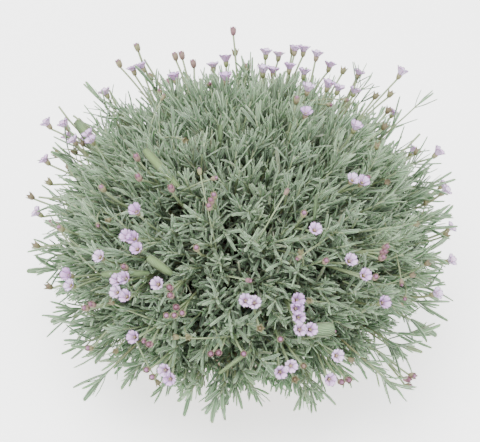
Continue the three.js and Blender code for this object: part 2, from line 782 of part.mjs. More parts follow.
// Where a shoot is rooted, leaves the inner mass and ends.
function planShoot(index) {
  const lift = 1 - ((index + 0.5) / SHOOTS) * (1 - LOWEST_LIFT);
  const jitter = between(-SHOOT_JITTER, SHOOT_JITTER, chance(index, 1));
  const azimuth = index * GOLDEN_ANGLE + jitter;
  const reach = between(...SHOOT_REACH, chance(index, 2));
  const end = cushionPoint(azimuth, lift, reach);
  const sprig = sprigOf(end);
  const [root, leave] = planRoot({ azimuth, lift }, sprig, SHOOT_MARGIN);
  return { index, sprig, root, leave, end, owner: `shoot ${index}` };
}

// A leafy shoot: a square stem with two tufts of four leaves, two crossed pairs in each.
function shootSolid(plan) {
  const { index, root, leave, end, owner } = plan;
  const shell = new Shell();
  const axis = end.clone().sub(leave).normalize();
  const length = end.distanceTo(leave);
  const steady = Math.abs(axis.z) < 0.9 ? new THREE.Vector3(0, 0, 1) : PICTURE_RIGHT;
  const hint = squareTo(axis, steady).applyAxisAngle(axis, index * GOLDEN_ANGLE);
  const at = (share, extra = 0) => leave.clone().addScaledVector(axis, length * share + extra);
  const half = SHOOT_HALF_WIDTH;
  const tufts = TUFTS.map((share) => at(share, -LEAF_BAND));
  const tip = at(1, SHOOT_TIP);
  take({ from: leave, to: tip, radius: SQUARE_CORNER * half, owner });
  const base = addRing(shell, root, leave.clone().sub(root).normalize(), hint, half);
  shell.square(base[0], base[3], base[2], base[1]);
  let ring = base;
  tufts.forEach((foot, tuft) => {
    const low = addRing(shell, foot, axis, hint, half);
    const high = addRing(shell, foot.clone().addScaledVector(axis, LEAF_BAND), axis, hint, half);
    addBand(shell, ring, low);
    const growths = [0, 1, 2, 3].map((side) => {
      const tipOfLeaf = fitLeaf(plan, axis, hint, foot, tuft, side);
      return tipOfLeaf && ((corners) => addLeaf(shell, corners, tipOfLeaf));
    });
    addBand(shell, low, high, growths);
    ring = high;
  });
  addPoint(shell, ring, tip);
  return shell.solid();
}

// The tip of a leaf on one face of a shoot. The leaf is bent towards its stem, then shortened,
// until it is clear of what already stands there.
function fitLeaf(plan, axis, hint, foot, tuft, side) {
  const number = plan.index * 12 + tuft * 4 + side;
  const out = hint.clone().applyAxisAngle(axis, ((side - 1) / 2) * Math.PI);
  const root = foot.clone().addScaledVector(axis, LEAF_BAND / 2);
  const from = root.addScaledVector(out, SHOOT_HALF_WIDTH);
  const full = LEAF_LENGTH * between(1 - LEAF_VARIATION, 1 + LEAF_VARIATION, chance(number, 3));
  const pair = side % 2 ? OUTER_SPREAD : INNER_SPREAD;
  const spread = pair * between(1 - SPREAD_VARIATION, 1 + SPREAD_VARIATION, chance(number, 4));
  for (const shorten of FITTINGS) {
    for (const closed of FITTINGS) {
      const lean = THREE.MathUtils.degToRad(spread * closed);
      const reach = full * shorten;
      const to = from
        .clone()
        .addScaledVector(out, Math.sin(lean) * reach)
        .addScaledVector(axis, Math.cos(lean) * reach);
      const piece = { from, to, radius: SHOOT_HALF_WIDTH, owner: plan.owner };
      if (cushionPlace(to).share > LEAVE_SHARE && isClear(piece)) {
        take(piece);
        return to;
      }
    }
  }
  return null;
}

// A broad pale blade: a flat pointed leaf that stands out of the cushion.
function broadBladeSolid(index, point, sprig) {
  const [root, leave] = planRoot(cushionPlace(point), sprig, BLADE_MARGIN);
  const wider = leave.clone().lerp(point, 0.55);
  const start = leave.clone().sub(root).normalize();
  const along = point.clone().sub(leave).normalize();
  const shell = new Shell();
  const ring = (centre, way, share) =>
    addRing(shell, centre, way, PICTURE_RIGHT, BLADE_HALF_WIDTH * share, BLADE_HALF_THICKNESS);
  const rings = [ring(root, start, 0.5), ring(leave, start, 0.7), ring(wider, along, 1)];
  shell.square(rings[0][0], rings[0][3], rings[0][2], rings[0][1]);
  addBand(shell, rings[0], rings[1]);
  addBand(shell, rings[1], rings[2]);
  addPoint(shell, rings[2], point);
  take({ from: leave, to: point, radius: BLADE_HALF_WIDTH, owner: `blade ${index}` });
  return shell.solid();
}

function buildPlant() {
  const parts = buildCores().map((core) => [core]);
  const sprays = planSprays();
  for (const plan of sprays) {
    parts[plan.sprig].push(spraySolid(plan));
    if (plan.fused) parts[plan.sprig].push(...headCorollas(plan.flowers, true));
  }
  BROAD_BLADES.forEach(([right, up], i) => {
    const point = placeInView(right, up, 1, 0);
    const sprig = sprigOf(point);
    parts[sprig].push(broadBladeSolid(i, point, sprig));
  });
  for (let i = 0; i < SHOOTS; i++) {
    const plan = planShoot(i);
    parts[plan.sprig].push(shootSolid(plan));
  }
  const sprigs = parts.map((pieces) => pieces.reduce((sum, piece) => sum.add(piece)));
  const blooms = sprays
    .filter((plan) => !plan.fused)
    .flatMap((plan) => plan.heads)
    .filter((head) => head.some((flower) => flower.kind === "open"))
    .map((head) => headCorollas(head, false).reduce((sum, piece) => sum.add(piece)));
  return { sprigs, blooms };
}

const numbered = (word, i) => `${word}_${String(i + 1).padStart(2, "0")}`;

const plant = new THREE.Group();
const { sprigs, blooms } = buildPlant();
plant.add(toMesh("crown", crownBody(0), BARK));
sprigs.forEach((solid, i) => plant.add(toMesh(numbered("leafy_sprig", i), solid, LEAF)));
blooms.forEach((solid, i) => plant.add(toMesh(numbered("bloom", i), solid, PETAL)));

const potted = new THREE.Group();
potted.add(toMesh("pot", buildPot(), CLAY), toMesh("soil", buildSoil(), EARTH), plant);

export default potted;
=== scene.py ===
"""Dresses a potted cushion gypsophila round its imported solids: pan, soil, crown and flowers."""

import json
import logging
import math
from dataclasses import dataclass, field
from enum import Enum
from functools import cache
from typing import Sequence

import bmesh
import bpy
import numpy as np
from bpy.types import Material, Mesh, Node, NodeSocket, NodeTree, Object
from mathutils import Matrix, Vector, noise

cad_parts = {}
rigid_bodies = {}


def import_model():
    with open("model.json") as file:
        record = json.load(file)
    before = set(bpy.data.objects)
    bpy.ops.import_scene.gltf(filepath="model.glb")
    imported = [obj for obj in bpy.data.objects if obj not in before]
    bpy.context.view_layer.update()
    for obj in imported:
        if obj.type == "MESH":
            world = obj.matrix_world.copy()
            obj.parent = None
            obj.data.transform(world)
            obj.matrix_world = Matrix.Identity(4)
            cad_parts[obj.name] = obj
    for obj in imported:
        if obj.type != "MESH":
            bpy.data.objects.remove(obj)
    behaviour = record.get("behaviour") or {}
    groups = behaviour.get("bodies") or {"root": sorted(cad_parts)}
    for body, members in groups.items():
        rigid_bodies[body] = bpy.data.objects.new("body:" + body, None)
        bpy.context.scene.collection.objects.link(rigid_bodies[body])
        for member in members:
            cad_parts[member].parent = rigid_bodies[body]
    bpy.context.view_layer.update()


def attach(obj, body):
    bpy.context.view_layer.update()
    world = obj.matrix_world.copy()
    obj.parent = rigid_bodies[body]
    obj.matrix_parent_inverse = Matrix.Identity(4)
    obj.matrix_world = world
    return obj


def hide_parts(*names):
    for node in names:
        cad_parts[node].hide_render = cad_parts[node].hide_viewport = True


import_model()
LOG = logging.getLogger("potted_gypsophila")

Pair = tuple[float, float]
Pairs = Sequence[Pair]
Triple = tuple[float, float, float]
Colour = tuple[float, ...]

MM = 0.001
TURN = 2 * math.pi
GOLDEN_ANGLE = math.pi * (3 - math.sqrt(5))
UP = Vector((0, 0, 1))
BODY = "root"
WHOLE = 0xFFFFFFFF
MIXERS = (0x9E3779B1, 0x85EBCA77, 0x2C1B3C6D, 0x297A2D39)


def chance(index: int, purpose: int) -> float:
    """Gives a repeatable number for a piece and a purpose.

    Args:
        index: Number of the piece.
        purpose: What the number is for.

    Returns:
        A number from 0 to 1.
    """
    first, second, third, fourth = MIXERS
    mixed = ((index + 1) * first & WHOLE) ^ ((purpose + 1) * second & WHOLE)
    mixed = ((mixed ^ (mixed >> 15)) * third) & WHOLE
    mixed = ((mixed ^ (mixed >> 12)) * fourth) & WHOLE
    return (mixed ^ (mixed >> 15)) / (WHOLE + 1)


def between(low: float, high: float, share: float) -> float:
    """Returns the number that lies the given share of the way from low to high."""
    return low + (high - low) * share


def drawn(low: float, high: float, index: int, purpose: int) -> float:
    """Returns a repeatable number from low to high for a piece and a purpose."""
    return between(low, high, chance(index, purpose))


def loose(index: int, purpose: int) -> Vector:
    """Returns a repeatable vector with parts from -0.5 to 0.5; it takes three purposes."""
    return Vector([chance(index, purpose + part) - 0.5 for part in range(3)])


def held(value: float) -> float:
    """Returns a value held between 0 and 1."""
    return min(max(value, 0), 1)


def srgb(*parts: int) -> Colour:
    """Turns a colour as a screen shows it, 0 to 255, into the numbers that a shader takes."""
    shares = [part / 255 for part in parts]
    return (*(s / 12.92 if s <= 0.04045 else ((s + 0.055) / 1.055) ** 2.4 for s in shares), 1.0)


def around(radius: float, angle: float, height: float = 0.0) -> Vector:
    """Returns the point at a radius and an angle round the upright axis, at a height."""
    return Vector((radius * math.cos(angle), radius * math.sin(angle), height))


def square_to(along: Vector, hint: Vector) -> Vector:
    """Returns the direction square to along that lies nearest to hint."""
    return (hint - along * hint.dot(along)).normalized()


def any_square(along: Vector) -> Vector:
    """Returns some direction square to along, the same each time."""
    return square_to(along, UP if abs(along.z) < 0.9 else Vector((1, 0, 0)))


def turned_about(vector: Vector, axis: Vector, angle: float) -> Vector:
    """Returns vector turned about axis by an angle in radians."""
    return Matrix.Rotation(angle, 3, axis) @ vector


def arc(start: Vector, bend: Vector, end: Vector, steps: int) -> list[Vector]:
    """Returns the points of a curve that leaves start towards bend and arrives at end from it."""
    shares = [number / steps for number in range(steps + 1)]
    return [start * (1 - t) ** 2 + bend * (2 * t * (1 - t)) + end * t * t for t in shares]


# ---- the form of the cushion, in mm, as the solids have it


@dataclass(frozen=True)
class CushionForm:
    """The dome that the leaf tips fill.

    Attributes:
        rise: Height of the top over the widest level.
        skirt: Drop of the lowest leaves under that level.
        level: Height of that level over the floor.
    """

    radius: float = 106
    rise: float = 88
    skirt: float = 40
    level: float = 58

    @property
    def centre(self) -> Vector:
        """Middle of the dome's widest level."""
        return Vector((0, 0, self.level))

    def point(self, azimuth: float, lift: float, share: float) -> Vector:
        """Finds a point of the cushion.

        Args:
            azimuth: Angle round the upright axis, in radians.
            lift: 1 at the top, 0 at the widest level and below 0 in the skirt.
            share: Share of the way from the middle to the leaf tips.

        Returns:
            The point.
        """
        level = math.sqrt(max(0.0, 1 - lift * lift)) * self.radius * share
        height = lift * (self.rise if lift > 0 else self.skirt) * share
        return around(level, azimuth, height) + self.centre

    def place(self, point: Vector) -> Triple:
        """Finds where in the cushion a point lies.

        Args:
            point: The point.

        Returns:
            Its azimuth, lift and share.
        """
        out = point - self.centre
        height = out.z / (self.rise if out.z > 0 else self.skirt)
        level = math.hypot(out.x, out.y) / self.radius
        share = math.hypot(height, level)
        return math.atan2(out.y, out.x), height / max(share, 1e-6), share

    def facing(self, point: Vector) -> Vector:
        """Finds the way that the cushion's surface faces.

        Args:
            point: The point where it does.

        Returns:
            The way.
        """
        out = point - self.centre
        depth = self.rise if out.z > 0 else self.skirt
        slope = (out.x / self.radius**2, out.y / self.radius**2, out.z / depth**2)
        return Vector(slope).normalized()


@dataclass(frozen=True)
class Viewpoint:
    """The view that the flower heads were placed in, looking down at the cushion's middle.

    Attributes:
        lift: Height of the eye over the horizon, in degrees.
        step: How finely a line of sight is followed, in mm.
    """

    lift: float = 42
    distance: float = 1000
    step: float = 0.5

    @property
    def right(self) -> Vector:
        """The picture's right."""
        return Vector((1, 0, 0))

    @property
    def up(self) -> Vector:
        """The picture's up."""
        angle = math.radians(self.lift)
        return Vector((0, math.sin(angle), math.cos(angle)))

    @property
    def to_eye(self) -> Vector:
        """The way from the middle to the eye."""
        angle = math.radians(self.lift)
        return Vector((0, -math.cos(angle), math.sin(angle)))

    def place(self, at: Pair, share: float, back: float = 0) -> Vector:
        """Follows a line of sight to the given share of the cushion, or to its nearest point.

        Args:
            at: How far right and up of the middle the line passes, in mm.
            share: Share of the cushion at which the line stops.
            back: How much further the point lies along the line.

        Returns:
            The point.
        """
        eye = FORM.centre + self.to_eye * self.distance
        aim = FORM.centre + self.right * at[0] + self.up * at[1]
        sight = (aim - eye).normalized()
        nearest, reach_there = eye, math.inf
        half = 2 * FORM.radius
        for number in range(int(2 * half / self.step)):
            point = eye + sight * (self.distance - half + number * self.step)
            reach = FORM.place(point)[2]
            if reach < reach_there:
                nearest, reach_there = point, reach
            if reach < share:
                break
        return nearest + sight * back


@dataclass(frozen=True)
class SprigLayout:
    """How the cushion is divided into sprigs: one at the top and two rings round it.

    Attributes:
        rings: Count, lift in degrees and turn of each ring, from the top down.
    """

    rings: tuple[tuple[int, float, float], ...] = ((1, 90, 0), (3, 46, 0.25), (6, 8, 0.5))

    def directions(self) -> list[Vector]:
        """Finds the directions of the sprigs' middles.

        Returns:
            The directions.
        """
        rings = [(count, math.radians(lift), turn) for count, lift, turn in self.rings]
        return [
            around(math.cos(lift), (number + turn) / count * TURN, math.sin(lift))
            for count, lift, turn in rings
            for number in range(count)
        ]


FORM = CushionForm()
VIEW = Viewpoint()
SPRIGS = SprigLayout().directions()


def sprig_of(point: Vector) -> int:
    """Returns the number of the sprig that holds a point."""
    nearness = [direction.dot(point - FORM.centre) for direction in SPRIGS]
    return nearness.index(max(nearness))


# ---- what stands in the cushion: stems, and shapes set on points


@dataclass
class Stem:
    """A stem under way: its points in mm, with half a width and a tint at each."""

    points: list[Vector]
    halves: list[float]
    tints: list[float]


@dataclass
class Spot:
    """A place where a shape is set.

    Attributes:
        place: Its foot, in mm.
        along: The way that the shape's own Z points.
        above: The way that its own Y points.
    """

    place: Vector
    along: Vector
    above: Vector
    size: float
    shape: int
    tint: float

    def turn(self) -> Triple:
        """Returns the turn of the shape as three angles."""
        upper = square_to(self.along, self.above)
        return tuple(Matrix((upper.cross(self.along), upper, self.along)).transposed().to_euler())


class FlowerKind(Enum):
    """The states of a flower."""

    OPEN = "open"
    BUD = "buds"
    SPENT = "spent"


@dataclass
class Flower:
    """A flower: its state, its middle, and the way it faces and turns."""

    kind: FlowerKind
    centre: Vector
    facing: Vector
    across: Vector
    along: Vector


@dataclass
class Growth:
    """All that one piece of foliage holds, sorted by finish."""

    stems: list[Stem] = field(default_factory=list)
    leaves: list[Spot] = field(default_factory=list)
    blades: list[Spot] = field(default_factory=list)
    calyces: list[Spot] = field(default_factory=list)
    buds: list[Spot] = field(default_factory=list)
    corollas: list[Spot] = field(default_factory=list)
    hearts: list[Spot] = field(default_factory=list)


# ---- shapes that are set many times


@dataclass
class Surface:
    """A closed surface that is drawn once and set many times.

    Attributes:
        marks: The places on the finish of the same corners, across and along it.
    """

    points: list[Sequence[float]] = field(default_factory=list, init=False)
    faces: list[Sequence[int]] = field(default_factory=list, init=False)
    marks: list[Pairs] = field(default_factory=list, init=False)

    def draw(self) -> None:
        """Adds the points and faces, which each kind of shape does in its own way."""
        raise NotImplementedError

    def build(self, name: str) -> Object:
        """Draws the surface and makes a mesh object of it.

        Args:
            name: The object's name.

        Returns:
            The object.
        """
        self.draw()
        mesh = bpy.data.meshes.new(name)
        mesh.from_pydata(self.points, [], self.faces, shade_flat=False)
        flat = [value for marks in self.marks for mark in marks for value in mark]
        mesh.uv_layers.new(name="UVMap").uv.foreach_set("vector", flat)
        mesh.update()
        return bpy.data.objects.new(name, mesh)

    def add(self, *place: float) -> int:
        """Adds a point and returns its number."""
        self.points.append(place)
        return len(self.points) - 1

    def face(self, corners: Sequence[int], marks: Pairs) -> None:
        """Adds a face from the numbers of its corners and their places on the finish."""
        self.faces.append(tuple(corners))
        self.marks.append(tuple(marks))

    def plain(self, corners: Sequence[int], mark: Pair) -> None:
        """Adds a face whose corners all lie at one place on the finish."""
        self.face(corners, (mark,) * len(corners))

    def ring(self, sides: int, even: Pair, odd: Pair | None = None, turn: float = 0) -> list[int]:
        """Adds a ring of points round the Z axis.

        Args:
            sides: Count of the points.
            even: Reach and height of every second point.
            odd: The same of the points between, where they differ.
            turn: How far the ring is turned, in radians.

        Returns:
            The numbers of the points.
        """
        found = []
        for number in range(sides):
            reach, height = odd if odd and number % 2 else even
            found.append(self.add(*around(reach, number / sides * TURN + turn, height)))
        return found

    def band(self, low: list[int], high: list[int], along: Pair, across: Pairs = ()) -> None:
        """Joins two closed rings of as many points.

        Args:
            low: The first ring.
            high: The second one, further along Z.
            along: The marks of the two rings along the finish.
            across: The marks of the ends of each side across it, where they aren't even.
        """
        count = len(low)
        v_low, v_high = along
        for side in range(count):
            after = (side + 1) % count
            u_here, u_after = across[side] if across else (side / count, (side + 1) / count)
            self.face(
                (low[side], low[after], high[after], high[side]),
                ((u_here, v_low), (u_after, v_low), (u_after, v_high), (u_here, v_high)),
            )

    def fan(self, ring: list[int], tip: int, along: Pair, across: Pairs = ()) -> None:
        """Closes a ring towards a tip.

        Args:
            ring: The ring.
            tip: The tip, further along Z.
            along: The marks of the ring and of the tip along the finish.
            across: As in a band; the tip then lies half way between the ends of each side.
        """
        count = len(ring)
        for side in range(count):
            u_here, u_after = across[side] if across else (side / count, (side + 1) / count)
            u_tip = 0.5 * (u_here + u_after) if across else u_here
            self.face(
                (ring[side], ring[(side + 1) % count], tip),
                ((u_here, along[0]), (u_after, along[0]), (u_tip, along[1])),
            )


# The mark along a leaf, above which its finish has a pale rim.
RIMMED_FROM = 2.0


@dataclass
class LeafShape(Surface):
    """A linear leaf of length 1 along Z, channelled above, with a blunt tip.

    Attributes:
        curl: How far its tip bends to its upper side.
        plump: Its depth as a share of its half width.
        stations: Shares of its length, with the share of its width at each.
        edge: How high its edges stand, as a share of its half width.
        channel: How deep its midrib lies, as the same share.
        across: The marks of the ends of each of its four sides.
    """

    half_width: float = 0.055
    curl: float = 0.1
    sway: float = 0.0
    plump: float = 0.5
    stations: Pairs = ((0.0, 0.5), (0.32, 0.86), (0.7, 1.0), (0.95, 0.74))
    rimmed: bool = False
    edge: float = 0.2
    channel: float = 0.12
    across: Pairs = ((1.0, 0.5), (0.5, 0.0), (2.0, 1.5), (1.5, 1.0))

    def draw(self) -> None:
        """Draws rings of four corners, two of them edges that stand higher than the midrib."""
        rings = []
        for share, wide in self.stations:
            half = self.half_width * wide
            lean, aside = self.curl * share * share, self.sway * share * share
            right, left = (half, self.edge * half), (-half, self.edge * half)
            midrib, keel = (0, -self.channel * half), (0, -(self.channel + self.plump) * half)
            corners = (right, midrib, left, keel)
            rings.append([self.add(aside + x, lean + y, share) for x, y in corners])
        tip = self.add(self.sway, self.curl, 1)
        shift = RIMMED_FROM if self.rimmed else 0
        marks = [share + shift for share, _ in self.stations]
        for number in range(len(rings) - 1):
            self.band(*rings[number : number + 2], marks[number : number + 2], self.across)
        self.fan(rings[-1], tip, (marks[-1], 1 + shift), self.across)
        self.plain(rings[0][::-1], (0.5, shift))


@dataclass
class CalyxShape(Surface):
    """A ribbed cup with five pointed teeth, foot at the origin, opening along Z, in mm.

    Attributes:
        length: Height of the notches between the teeth.
        tooth: Height of a tooth over the notches.
        flare: How far the teeth lean outwards.
        sides: Count of its sides, of which every second one is a rib.
    """

    length: float = 4.0
    radius: float = 1.5
    tooth: float = 1.2
    flare: float = 0.15
    sides: int = 10

    def draw(self) -> None:
        """Draws the cup with an inner wall and a floor."""
        # Reach, height, depth between the ribs, height of the teeth and mark of each ring.
        levels = (
            (0.32 * self.radius, 0.0, 0.0, 0.0, 0.0),
            (0.72 * self.radius, 0.14 * self.length, 0.12, 0.0, 0.15),
            (0.95 * self.radius, 0.55 * self.length, 0.12, 0.0, 0.55),
            (self.radius, self.length, 0.08, self.tooth, 1.0),
            (0.86 * self.radius, self.length - 0.1, 0.08, 0.9 * self.tooth, 0.9),
            (0.7 * self.radius, 0.7 * self.length, 0.0, 0.0, 0.7),
        )
        rings, marks = [], []
        for reach, height, depth, rise, mark in levels:
            rib = (reach + self.flare * rise, height + rise)
            rings.append(self.ring(self.sides, rib, (reach * (1 - depth), height)))
            marks.append(mark)
        for number in range(len(rings) - 1):
            self.band(*rings[number : number + 2], marks[number : number + 2])
        self.fan(rings[-1], self.add(0, 0, 0.7 * self.length), (0.7, 0.6))
        foot = self.add(0, 0, -0.1)
        for here, after in zip(rings[0], rings[0][1:] + rings[0][:1]):
            self.plain((after, here, foot), (0, 0))


@dataclass
class BudShape(Surface):
    """The rolled petals that stand out of a closed calyx, foot at the origin, in mm.

    Attributes:
        stations: Shares of its length, with the share of its radius at each.
        groove: Reach of the grooves as a share of that of the folds between them.
    """

    length: float = 3.6
    radius: float = 1.05
    twist: float = 1.1
    stations: Pairs = ((0.0, 0.8), (0.3, 1.0), (0.65, 0.85), (0.88, 0.45))
    groove: float = 0.86
    sides: int = 10

    def draw(self) -> None:
        """Draws the bud with five rounded folds."""
        rings, marks = [], []
        for share, wide in self.stations:
            reach, height = self.radius * wide, share * self.length
            turn = self.twist * share
            fold, groove = (reach, height), (reach * self.groove, height)
            rings.append(self.ring(self.sides, fold, groove, turn))
            marks.append(share)
        for number in range(len(rings) - 1):
            self.band(*rings[number : number + 2], marks[number : number + 2])
        self.fan(rings[-1], self.add(0, 0, self.length), (marks[-1], 1))
        self.plain(rings[0][::-1], (0, 0))


@dataclass
class CorollaShape(Surface):
    """Five notched petals that open from a narrow throat, middle at the origin, in mm.

    Attributes:
        radius: Reach of a petal's lobes.
        notch: Reach of a petal's middle.
        depth: Height of the petals' edge over the throat.
        rows: Share of its reach, half width and share of the depth at each row of a petal.
    """

    radius: float = 3.65
    notch: float = 3.0
    depth: float = 2.4
    seed: int = 0
    petals: int = 5
    throat: float = 0.5
    thickness: float = 0.22
    rows: Sequence[Triple] = (
        (0.0, 0.3, -0.5),
        (0.28, 0.9, 0.06),
        (0.58, 1.5, 0.5),
        (0.84, 1.8, 0.84),
        (1.0, 1.3, 1.0),
    )

    def draw(self) -> None:
        """Draws the petals."""
        for number in range(self.petals):
            self.petal(number)

    def petal(self, number: int) -> None:
        """Draws one petal as a thin closed sheet.

        Args:
            number: Its number.
        """
        middle = number / self.petals * TURN
        tip_rise = drawn(-0.25, 0.3, self.seed * self.petals + number, 61)
        wave = drawn(0.05, 0.22, self.seed * self.petals + number, 62)
        notch = self.notch / self.radius
        columns = ((-1.0, 0.84), (-0.5, 1.0), (0.0, notch), (0.5, 1.0), (1.0, 0.84))
        upper, lower, marks = {}, {}, {}
        for grid, drop in ((upper, 0.0), (lower, self.thickness)):
            for row, (share, half, rise) in enumerate(self.rows):
                for column, (aside, reach) in enumerate(columns):
                    out = self.throat + (self.radius * reach - self.throat) * share
                    side = half * aside
                    up = self.depth * rise + share * share * tip_rise
                    up += wave * math.sin(3 * aside + number) * share - drop
                    x = out * math.cos(middle) - side * math.sin(middle)
                    y = out * math.sin(middle) + side * math.cos(middle)
                    grid[row, column] = self.add(x, y, up)
                    marks[row, column] = (0.5 + 0.5 * aside, share)
        last_row, last_column = len(self.rows) - 1, len(columns) - 1
        for row in range(last_row):
            for column in range(last_column):
                cells = [(row, column), (row + 1, column), (row + 1, column + 1), (row, column + 1)]
                for grid, corners in ((upper, cells), (lower, cells[::-1])):
                    self.face([grid[each] for each in corners], [marks[each] for each in corners])
        rim = [(0, column) for column in range(last_column)]
        rim += [(row, last_column) for row in range(last_row)]
        rim += [(last_row, column) for column in range(last_column, 0, -1)]
        rim += [(row, 0) for row in range(last_row, 0, -1)]
        for here, after in zip(rim, rim[1:] + rim[:1]):
            self.face(
                (upper[here], upper[after], lower[after], lower[here]),
                (marks[here], marks[after], marks[after], marks[here]),
            )


@dataclass
class HeartShape(Surface):
    """The eye of a flower with its stamens, middle at the origin, in mm.

    Attributes:
        thread: Half the width of a filament.
        anther: Half the width of an anther.
    """

    eye: float = 0.8
    stamens: int = 8
    reach: float = 2.1
    seed: int = 0
    thread: float = 0.07
    anther: float = 0.24

    def draw(self) -> None:
        """Draws the domed eye and the ring of stamens."""
        low = self.ring(8, (self.eye, -0.5))
        high = self.ring(8, (0.8 * self.eye, 0.35))
        self.band(low, high, (0.0, 0.1))
        self.fan(high, self.add(0, 0, 0.6), (0.1, 0.2))
        self.plain(low[::-1], (0, 0))
        for number in range(self.stamens):
            mark = number + 20 * self.seed
            angle = (number + drawn(-0.3, 0.3, mark, 63)) / self.stamens * TURN
            self.stamen(angle, chance(mark, 64))

    def stamen(self, angle: float, share: float) -> None:
        """Draws a thin filament with a plump anther on its end.

        Args:
            angle: Where round the eye it stands, in radians.
            share: How far it has grown, from 0 to 1.
        """
        out = around(1, angle)
        side = UP.cross(out)
        foot = out * (0.45 * self.eye) + UP * 0.3
        reach, height = self.eye * between(0.9, 1.5, share), self.reach * between(0.75, 1, share)
        head = out * reach + UP * height
        thin, plump = self.thread, self.anther
        corners = ((thin, 0.0), (-0.5 * thin, 0.87 * thin), (-0.5 * thin, -0.87 * thin))
        low, high = (
            [self.add(*(middle + out * x + side * y)) for x, y in corners]
            for middle in (foot, head)
        )
        self.band(low, high, (0.5, 0.6))
        self.plain(low[::-1], (0.5, 0.5))
        self.plain(high, (0.5, 0.6))
        waist = [
            self.add(*(head + out * (plump * math.cos(a)) + side * (plump * math.sin(a))))
            for a in (0, 0.5 * math.pi, math.pi, 1.5 * math.pi)
        ]
        top, under = self.add(*(head + UP * plump)), self.add(*(head - UP * plump))
        for here, after in zip(waist, waist[1:] + waist[:1]):
            self.plain((here, after, top), (1, 1))
            self.plain((after, here, under), (1, 1))


@dataclass
class GritShape(Surface):
    """A rough grain of soil, about 1 across, in several uneven forms."""

    seed: int = 0

    def draw(self) -> None:
        """Draws an uneven ball of twenty faces."""
        ball = bmesh.new()
        bmesh.ops.create_icosphere(ball, subdivisions=1, radius=0.5)
        for vertex in ball.verts:
            way = vertex.co.normalized()
            bump = 0.8 + 0.5 * noise.noise(way * 1.7 + Vector((self.seed * 3.1, 0, 0)))
            self.add(*(vertex.co * bump))
        for face in ball.faces:
            self.face([vertex.index for vertex in face.verts], ((0, 0), (1, 0), (1, 1)))
        ball.free()


# ---- trees that set shapes on points and draw stems along paths


class Nodes:
    """Nodes under construction."""

    tree: NodeTree

    def node(self, kind: str, inputs: dict[str | int, object], **settings: object) -> Node:
        """Adds a node.

        Args:
            kind: Blender's name of the node.
            inputs: What goes into each socket, a value or another node's socket.
            settings: The node's own settings.

        Returns:
            The node.
        """
        node = self.tree.nodes.new(kind)
        for name, value in settings.items():
            setattr(node, name, value)
        for name, value in inputs.items():
            self.feed(node.inputs[name], value)
        return node

    def feed(self, socket: NodeSocket, value: object) -> None:
        """Gives a socket a value or another node's socket.

        Args:
            socket: The socket.
            value: What goes into it.
        """
        if isinstance(value, NodeSocket):
            self.tree.links.new(value, socket)
        else:
            socket.default_value = value


class Tree(Nodes):
    """A Geometry Nodes tree under construction, with the geometry and named inputs going in."""

    def __init__(self, name: str, **inputs: str) -> None:
        """Starts a tree.

        Args:
            name: Its name.
            inputs: The kind of socket of each of its named inputs.
        """
        self.tree = bpy.data.node_groups.new(name, "GeometryNodeTree")
        face = self.tree.interface
        for entry, kind in {"Geometry": "Geometry", **inputs, "Finish": "Material"}.items():
            face.new_socket(entry, in_out="INPUT", socket_type=f"NodeSocket{kind}")
        face.new_socket("Geometry", in_out="OUTPUT", socket_type="NodeSocketGeometry")
        self.given = self.tree.nodes.new("NodeGroupInput").outputs

    def named(self, name: str, kind: str) -> NodeSocket:
        """Returns the socket that reads a named attribute."""
        node = self.node("GeometryNodeInputNamedAttribute", {"Name": name}, data_type=kind)
        return node.outputs[0]

    def end(self, geometry: NodeSocket) -> NodeTree:
        """Ends the tree in real geometry with its material.

        Args:
            geometry: What it has made.

        Returns:
            The tree.
        """
        real = self.node("GeometryNodeRealizeInstances", {0: geometry})
        finish = {"Geometry": real.outputs[0], "Material": self.given["Finish"]}
        dressed = self.node("GeometryNodeSetMaterial", finish)
        self.node("NodeGroupOutput", {"Geometry": dressed.outputs[0]})
        return self.tree


def scatter_tree() -> NodeTree:
    """Builds the tree that sets one of several shapes on each point, turned and sized as it says.

    Returns:
        The tree.
    """
    tree = Tree("set_shapes_on_points", Shapes="Collection", Scale="Float")
    shapes = tree.node(
        "GeometryNodeCollectionInfo",
        {"Collection": tree.given["Shapes"], "Separate Children": True, "Reset Children": True},
    )
    turn = tree.node("FunctionNodeEulerToRotation", {"Euler": tree.named("turn", "FLOAT_VECTOR")})
    factors = {0: tree.named("size", "FLOAT"), 1: tree.given["Scale"]}
    size = tree.node("ShaderNodeMath", factors, operation="MULTIPLY")
    placed = tree.node(
        "GeometryNodeInstanceOnPoints",
        {
            "Points": tree.given["Geometry"],
            "Instance": shapes.outputs[0],
            "Pick Instance": True,
            "Instance Index": tree.named("shape", "INT"),
            "Rotation": turn.outputs[0],
            "Scale": size.outputs[0],
        },
    )
    return tree.end(placed.outputs[0])


def stem_tree() -> NodeTree:
    """Builds the tree that draws a round stem along each path, as thick as its points say.

    Returns:
        The tree.
    """
    tree = Tree("draw_stems_along_paths", Sides="Int")
    lines = tree.node("GeometryNodeMeshToCurve", {"Mesh": tree.given["Geometry"]})
    circle = {"Resolution": tree.given["Sides"], "Radius": 1.0}
    ring = tree.node("GeometryNodeCurvePrimitiveCircle", circle)
    drawn_stem = tree.node(
        "GeometryNodeCurveToMesh",
        {
            "Curve": lines.outputs[0],
            "Profile Curve": ring.outputs[0],
            "Scale": tree.named("half", "FLOAT"),
            "Fill Caps": True,
        },
    )
    return tree.end(drawn_stem.outputs[0])


def linked(name: str, data: bpy.types.ID) -> Object:
    """Makes an object of some data, puts it in the scene and returns it."""
    piece = bpy.data.objects.new(name, data)
    bpy.context.scene.collection.objects.link(piece)
    return piece


def plain_mesh(piece: Object) -> Mesh:
    """Returns the mesh that an object's modifiers make."""
    graph = bpy.context.evaluated_depsgraph_get()
    return bpy.data.meshes.new_from_object(
        piece.evaluated_get(graph), preserve_all_data_layers=True, depsgraph=graph
    )


